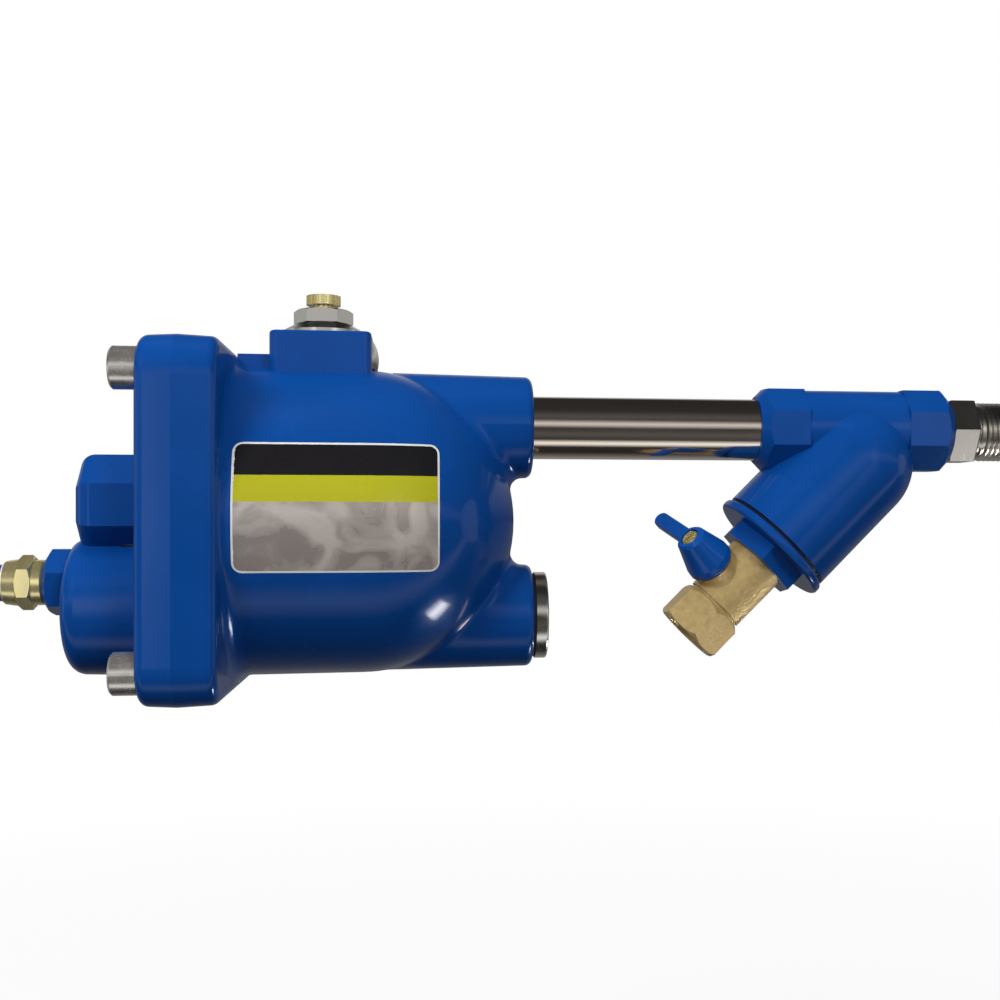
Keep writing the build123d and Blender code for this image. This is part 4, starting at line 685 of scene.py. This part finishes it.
        graph.link(light.outputs[0], out.inputs["Surface"])
        curtain = self.add_stage(mesh, "strip_curtain", material)
        for ray in ("camera", "diffuse", "transmission", "volume_scatter", "shadow"):
            setattr(curtain, f"visible_{ray}", False)

    def add_stage(self, mesh: bmesh.types.BMesh, name: str, material: bpy.types.Material) -> bpy.types.Object:
        """Links a stage object that isn't part of the valve.

        Args:
            mesh: The shape, in place.
            name: The object's name.
            material: Its material.

        Returns:
            The new object.
        """
        data = bpy.data.meshes.new(name)
        mesh.to_mesh(data)
        mesh.free()
        data.materials.append(material)
        made = bpy.data.objects.new(name, data)
        bpy.context.scene.collection.objects.link(made)
        return made


# ---------------------------------------------------------------------------------------------- the part
@dataclass
class DrainHose:
    """The drain tube: straight out of its fitting, then hanging to a square-cut end."""

    wardrobe: Wardrobe
    radius: float = 6.0 * MM
    bore: float = 4.0 * MM
    bore_depth: float = 14.0 * MM
    length: float = 0.316
    exit: tuple = (-0.3416, 0.0, -0.052)
    route: tuple = (
        (-0.3331, 0.0, -0.052),
        (-0.3671, 0.0, -0.052),
        (-0.3991, 0.0, -0.060),
        (-0.4261, 0.0, -0.078),
        (-0.4461, 0.0, -0.105),
        (-0.4591, 0.0, -0.138),
        (-0.4651, 0.0, -0.174),
        (-0.4661, 0.0, -0.212),
        (-0.4641, 0.0, -0.250),
        (-0.4651, 0.0, -0.286),
    )

    def build(self) -> None:
        """Makes the tube and its cut end."""
        end = self.cut_end()
        data = bpy.data.curves.new("drain_tube", "CURVE")
        data.dimensions = "3D"
        data.bevel_depth = self.radius
        data.bevel_resolution = 8
        data.resolution_u = 12
        spline = data.splines.new("NURBS")
        spline.points.add(len(self.route) - 1)
        for point, place in zip(spline.points, self.route):
            point.co = (*place, 1.0)
        spline.order_u = 3
        spline.use_endpoint_u = True
        data.materials.append(self.wardrobe.get(HOSE_BLUE))
        tube = bpy.data.objects.new("drain_tube", data)
        bpy.context.scene.collection.objects.link(tube)
        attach(tube, Body.HOUSING.value)
        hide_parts("drain_hose")
        log.info("made drain_tube")

    def cut_end(self) -> bpy.types.Object:
        """Makes the square-cut end with its open bore, which a disc closes; all of it takes a darker blue,
        painted shade.

        Returns:
            The end piece.
        """
        last = Vector(self.route[-1])
        axis = (last - Vector(self.route[-2])).normalized()
        side = Vector((0.0, 1.0, 0.0))
        back = -self.bore_depth
        # The profile runs over the end face and down the bore, then closes it with a disc that stands for the
        # shade deep inside.
        profile = [(0.0, self.radius - SLIT), (0.0, self.bore), (back, self.bore), (back, 0.0)]
        mesh = spun(profile, last, axis, side, 40, close=False)
        return finish_piece(mesh, "tube_cut_end", self.wardrobe.get(HOSE_BORE_PAINTED_SHADE), Body.HOUSING)


@dataclass
class InletNipple:
    """Hexagon nipple with a real thread on its open end."""

    wardrobe: Wardrobe
    thread_length: float = 13.3 * MM
    hex_length: float = 9.6 * MM
    hex_flats: float = 21.5 * MM
    crest: float = 10.4 * MM
    root: float = 9.35 * MM
    bore: float = 7.5 * MM
    insert: float = 12.0 * MM
    pipe_radius: float = 10.65 * MM
    pitch: float = 1.814 * MM
    lead: float = 0.6 * MM
    lead_rise: float = 0.1 * MM
    relief: float = 1.2 * MM
    relief_depth: float = 0.3 * MM
    relief_slope: float = 0.4 * MM
    ridge_start: float = 1.1 * MM
    ridge_margin: float = 2.9 * MM
    hex_bevel: float = 0.7 * MM

    def build(self) -> None:
        """Makes the threaded body and the hexagon."""
        axis, side = Vector((-1.0, 0.0, 0.0)), Vector((0.0, 0.0, 1.0))
        shoulder = self.thread_length
        far = shoulder + self.hex_length
        profile = [
            (0.0, self.bore),
            (0.0, self.root - self.lead_rise),
            (self.lead, self.root + self.lead_rise),
            (shoulder - self.relief - self.relief_slope, self.root),
            (shoulder - self.relief, self.root - self.relief_depth),
            (shoulder, self.root - self.relief_depth),
            (far, self.root),
            (far, self.pipe_radius - SLIT),
            (far + self.insert, self.pipe_radius - SLIT),
            (far + self.insert, self.bore),
        ]
        mesh = spun(profile, Vector((0.0, 0.0, 0.0)), axis, side)
        add_thread(mesh, axis * self.ridge_start, axis, side, self.root, self.crest, self.pitch,
                   (shoulder - self.ridge_margin) / self.pitch)
        steel = self.wardrobe.get(TURNED_STEEL)
        nipple = finish_piece(mesh, "nipple_thread", steel, Body.HOUSING)
        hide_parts("inlet_nipple")
        self.hexagon(shoulder, far)

    def hexagon(self, near: float, far: float) -> None:
        """Makes the hexagon between two distances from the open end.

        Args:
            near: Where it starts.
            far: Where it ends.
        """
        mesh = bmesh.new()
        corner = self.hex_flats / math.sqrt(3)
        along_x = Matrix.Rotation(math.pi / 2, 4, "Y") @ Matrix.Rotation(math.pi / 6, 4, "Z")
        bmesh.ops.create_cone(mesh, cap_ends=True, segments=6, radius1=corner, radius2=corner,
                              depth=far - near, matrix=along_x)
        bmesh.ops.translate(mesh, verts=mesh.verts, vec=(-(near + far) / 2, 0.0, 0.0))
        bmesh.ops.rotate(mesh, verts=mesh.verts, cent=(0.0, 0.0, 0.0),
                         matrix=Matrix.Rotation(math.pi / 6, 3, "X"))
        rims = [edge for edge in mesh.edges if abs(edge.verts[0].co.x - edge.verts[1].co.x) < SLIT / 2]
        bmesh.ops.bevel(mesh, geom=rims, offset=self.hex_bevel, segments=2, affect="EDGES", profile=0.5,
                        material=-1)
        finish_piece(mesh, "nipple_hexagon", self.wardrobe.get(TURNED_STEEL), Body.HOUSING, 20.0)


@dataclass
class BlowdownOutlet:
    """The ball valve's outlet thread."""

    wardrobe: Wardrobe
    start: tuple = (-0.0451, 0.0, 0.0)
    mouth: float = 100.5 * MM
    thread_root: float = 8.33 * MM
    thread_crest: float = 7.45 * MM
    pitch: float = 1.337 * MM
    depth: float = 9.0 * MM
    ridge_start: float = 1.0 * MM
    ridge_margin: float = 1.5 * MM

    def build(self) -> None:
        """Makes the ridge inside the outlet."""
        axis = Vector((-1.0, 0.0, -1.0)).normalized()
        side = Vector((0.0, 1.0, 0.0))
        mouth = Vector(self.start) + axis * self.mouth
        mesh = bmesh.new()
        add_thread(mesh, mouth - axis * self.ridge_start, -axis, side, self.thread_root, self.thread_crest,
                   self.pitch, (self.depth - self.ridge_margin) / self.pitch)
        finish_piece(mesh, "outlet_thread", self.wardrobe.get(TURNED_BRASS), Body.HOUSING)


@dataclass
class ChamberLabel:
    """Printed film on the chamber's front, draped over its curve."""

    wardrobe: Wardrobe
    left: float = -263.5 * MM
    right: float = -201.9 * MM
    bottom: float = -47.6 * MM
    top: float = -8.3 * MM
    corner: float = 3.0 * MM
    border: float = 0.6 * MM
    black_band: float = 9.4 * MM
    yellow_band: float = 8.0 * MM
    film_lift: float = 0.06 * MM
    print_lift: float = 0.10 * MM
    columns: int = 44
    rows: int = 30
    ray_start: float = -0.2

    def build(self) -> None:
        """Makes the film and its print."""
        print_finish = LabelPrint(self.top - self.border, self.black_band, self.yellow_band).build()
        self.sheet("label_film", 0.0, self.film_lift, self.wardrobe.get(LABEL_EDGE))
        self.sheet("label_print", self.border, self.print_lift, print_finish)

    def sheet(self, name: str, inset: float, lift: float, material: bpy.types.Material) -> None:
        """Makes one draped layer with rounded corners.

        Args:
            name: The layer's name.
            inset: How far it stays inside the label's outline.
            lift: How far it stands off the paint.
            material: Its finish.
        """
        left, right = self.left + inset, self.right - inset
        bottom, top = self.bottom + inset, self.top - inset
        mesh = bmesh.new()
        bmesh.ops.create_grid(mesh, x_segments=1, y_segments=1, size=0.5)
        bmesh.ops.scale(mesh, verts=mesh.verts, vec=(right - left, top - bottom, 1.0))
        bmesh.ops.bevel(mesh, geom=mesh.verts[:], offset=self.corner - inset, segments=6, affect="VERTICES",
                        profile=0.5, material=-1)
        bmesh.ops.rotate(mesh, verts=mesh.verts, cent=(0.0, 0.0, 0.0),
                         matrix=Matrix.Rotation(math.pi / 2, 3, "X"))
        bmesh.ops.translate(mesh, verts=mesh.verts, vec=((left + right) / 2, 0.0, (bottom + top) / 2))
        cuts = (
            (self.columns, left, right, Vector((1, 0, 0))),
            (self.rows, bottom, top, Vector((0, 0, 1))),
        )
        for count, low, high, normal in cuts:
            for step in range(1, count):
                place = normal * (low + (high - low) * step / count)
                whole = mesh.verts[:] + mesh.edges[:] + mesh.faces[:]
                bmesh.ops.bisect_plane(mesh, geom=whole, dist=WELD / 2, plane_co=place, plane_no=normal)
        tree = BVHTree.FromObject(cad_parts["chamber_body"], bpy.context.evaluated_depsgraph_get())
        for vert in mesh.verts:
            hit = tree.ray_cast(Vector((vert.co.x, self.ray_start, vert.co.z)), Vector((0.0, 1.0, 0.0)))
            vert.co = hit[0] + Vector((0.0, -lift, 0.0))
        finish_piece(mesh, name, material, Body.HOUSING)


def dress_nodes(wardrobe: Wardrobe) -> None:
    """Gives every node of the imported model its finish."""
    wardrobe.dress(PAINT, "chamber_body", "strainer_body", "strainer_cap")
    wardrobe.dress(COVER_PAINT, "cover", "outlet_adapter")
    wardrobe.dress(HANDLE_BLUE, "valve_handle")
    wardrobe.dress(DRAWN_STEEL, "inlet_pipe", "float_rod", "strainer_screen")
    wardrobe.dress(TURNED_STEEL, "float_ball", "float_lever", "float_bracket", "bracket_screws", "pivot_pin",
                   "pivot_clip", "link_pin", "valve_stem", "valve_seat")
    wardrobe.dress(NICKEL, "vent_plug", "side_plug", "sump_plug", "gland_nut", "valve_ball")
    wardrobe.dress(SCREW_ZINC, "cover_screws")
    wardrobe.dress(CAST_BRASS, "ball_valve_body", "ball_valve_end")
    wardrobe.dress(TURNED_BRASS, "hose_fitting", "bleed_knob", "handle_screw", "plunger")
    wardrobe.dress(BLACK_RUBBER, "cover_o_ring", "plunger_pad")
    wardrobe.dress(FIBRE, "cap_gasket", "sump_washer")
    wardrobe.dress(SEAL_WHITE, "ball_seats", "stem_packing", "hose_collet")


def main() -> None:
    """Builds the stage and every piece, in order."""
    logging.basicConfig(level=logging.INFO, format="%(message)s")
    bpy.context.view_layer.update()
    scene = bpy.context.scene
    scene.view_settings.view_transform = "Standard"
    StudioCamera().build()
    wardrobe = Wardrobe()
    DrainHose(wardrobe).build()
    Studio().build()
    dress_nodes(wardrobe)
    for piece in (InletNipple(wardrobe), BlowdownOutlet(wardrobe), ChamberLabel(wardrobe)):
        piece.build()


if __name__ == "__main__":
    main()
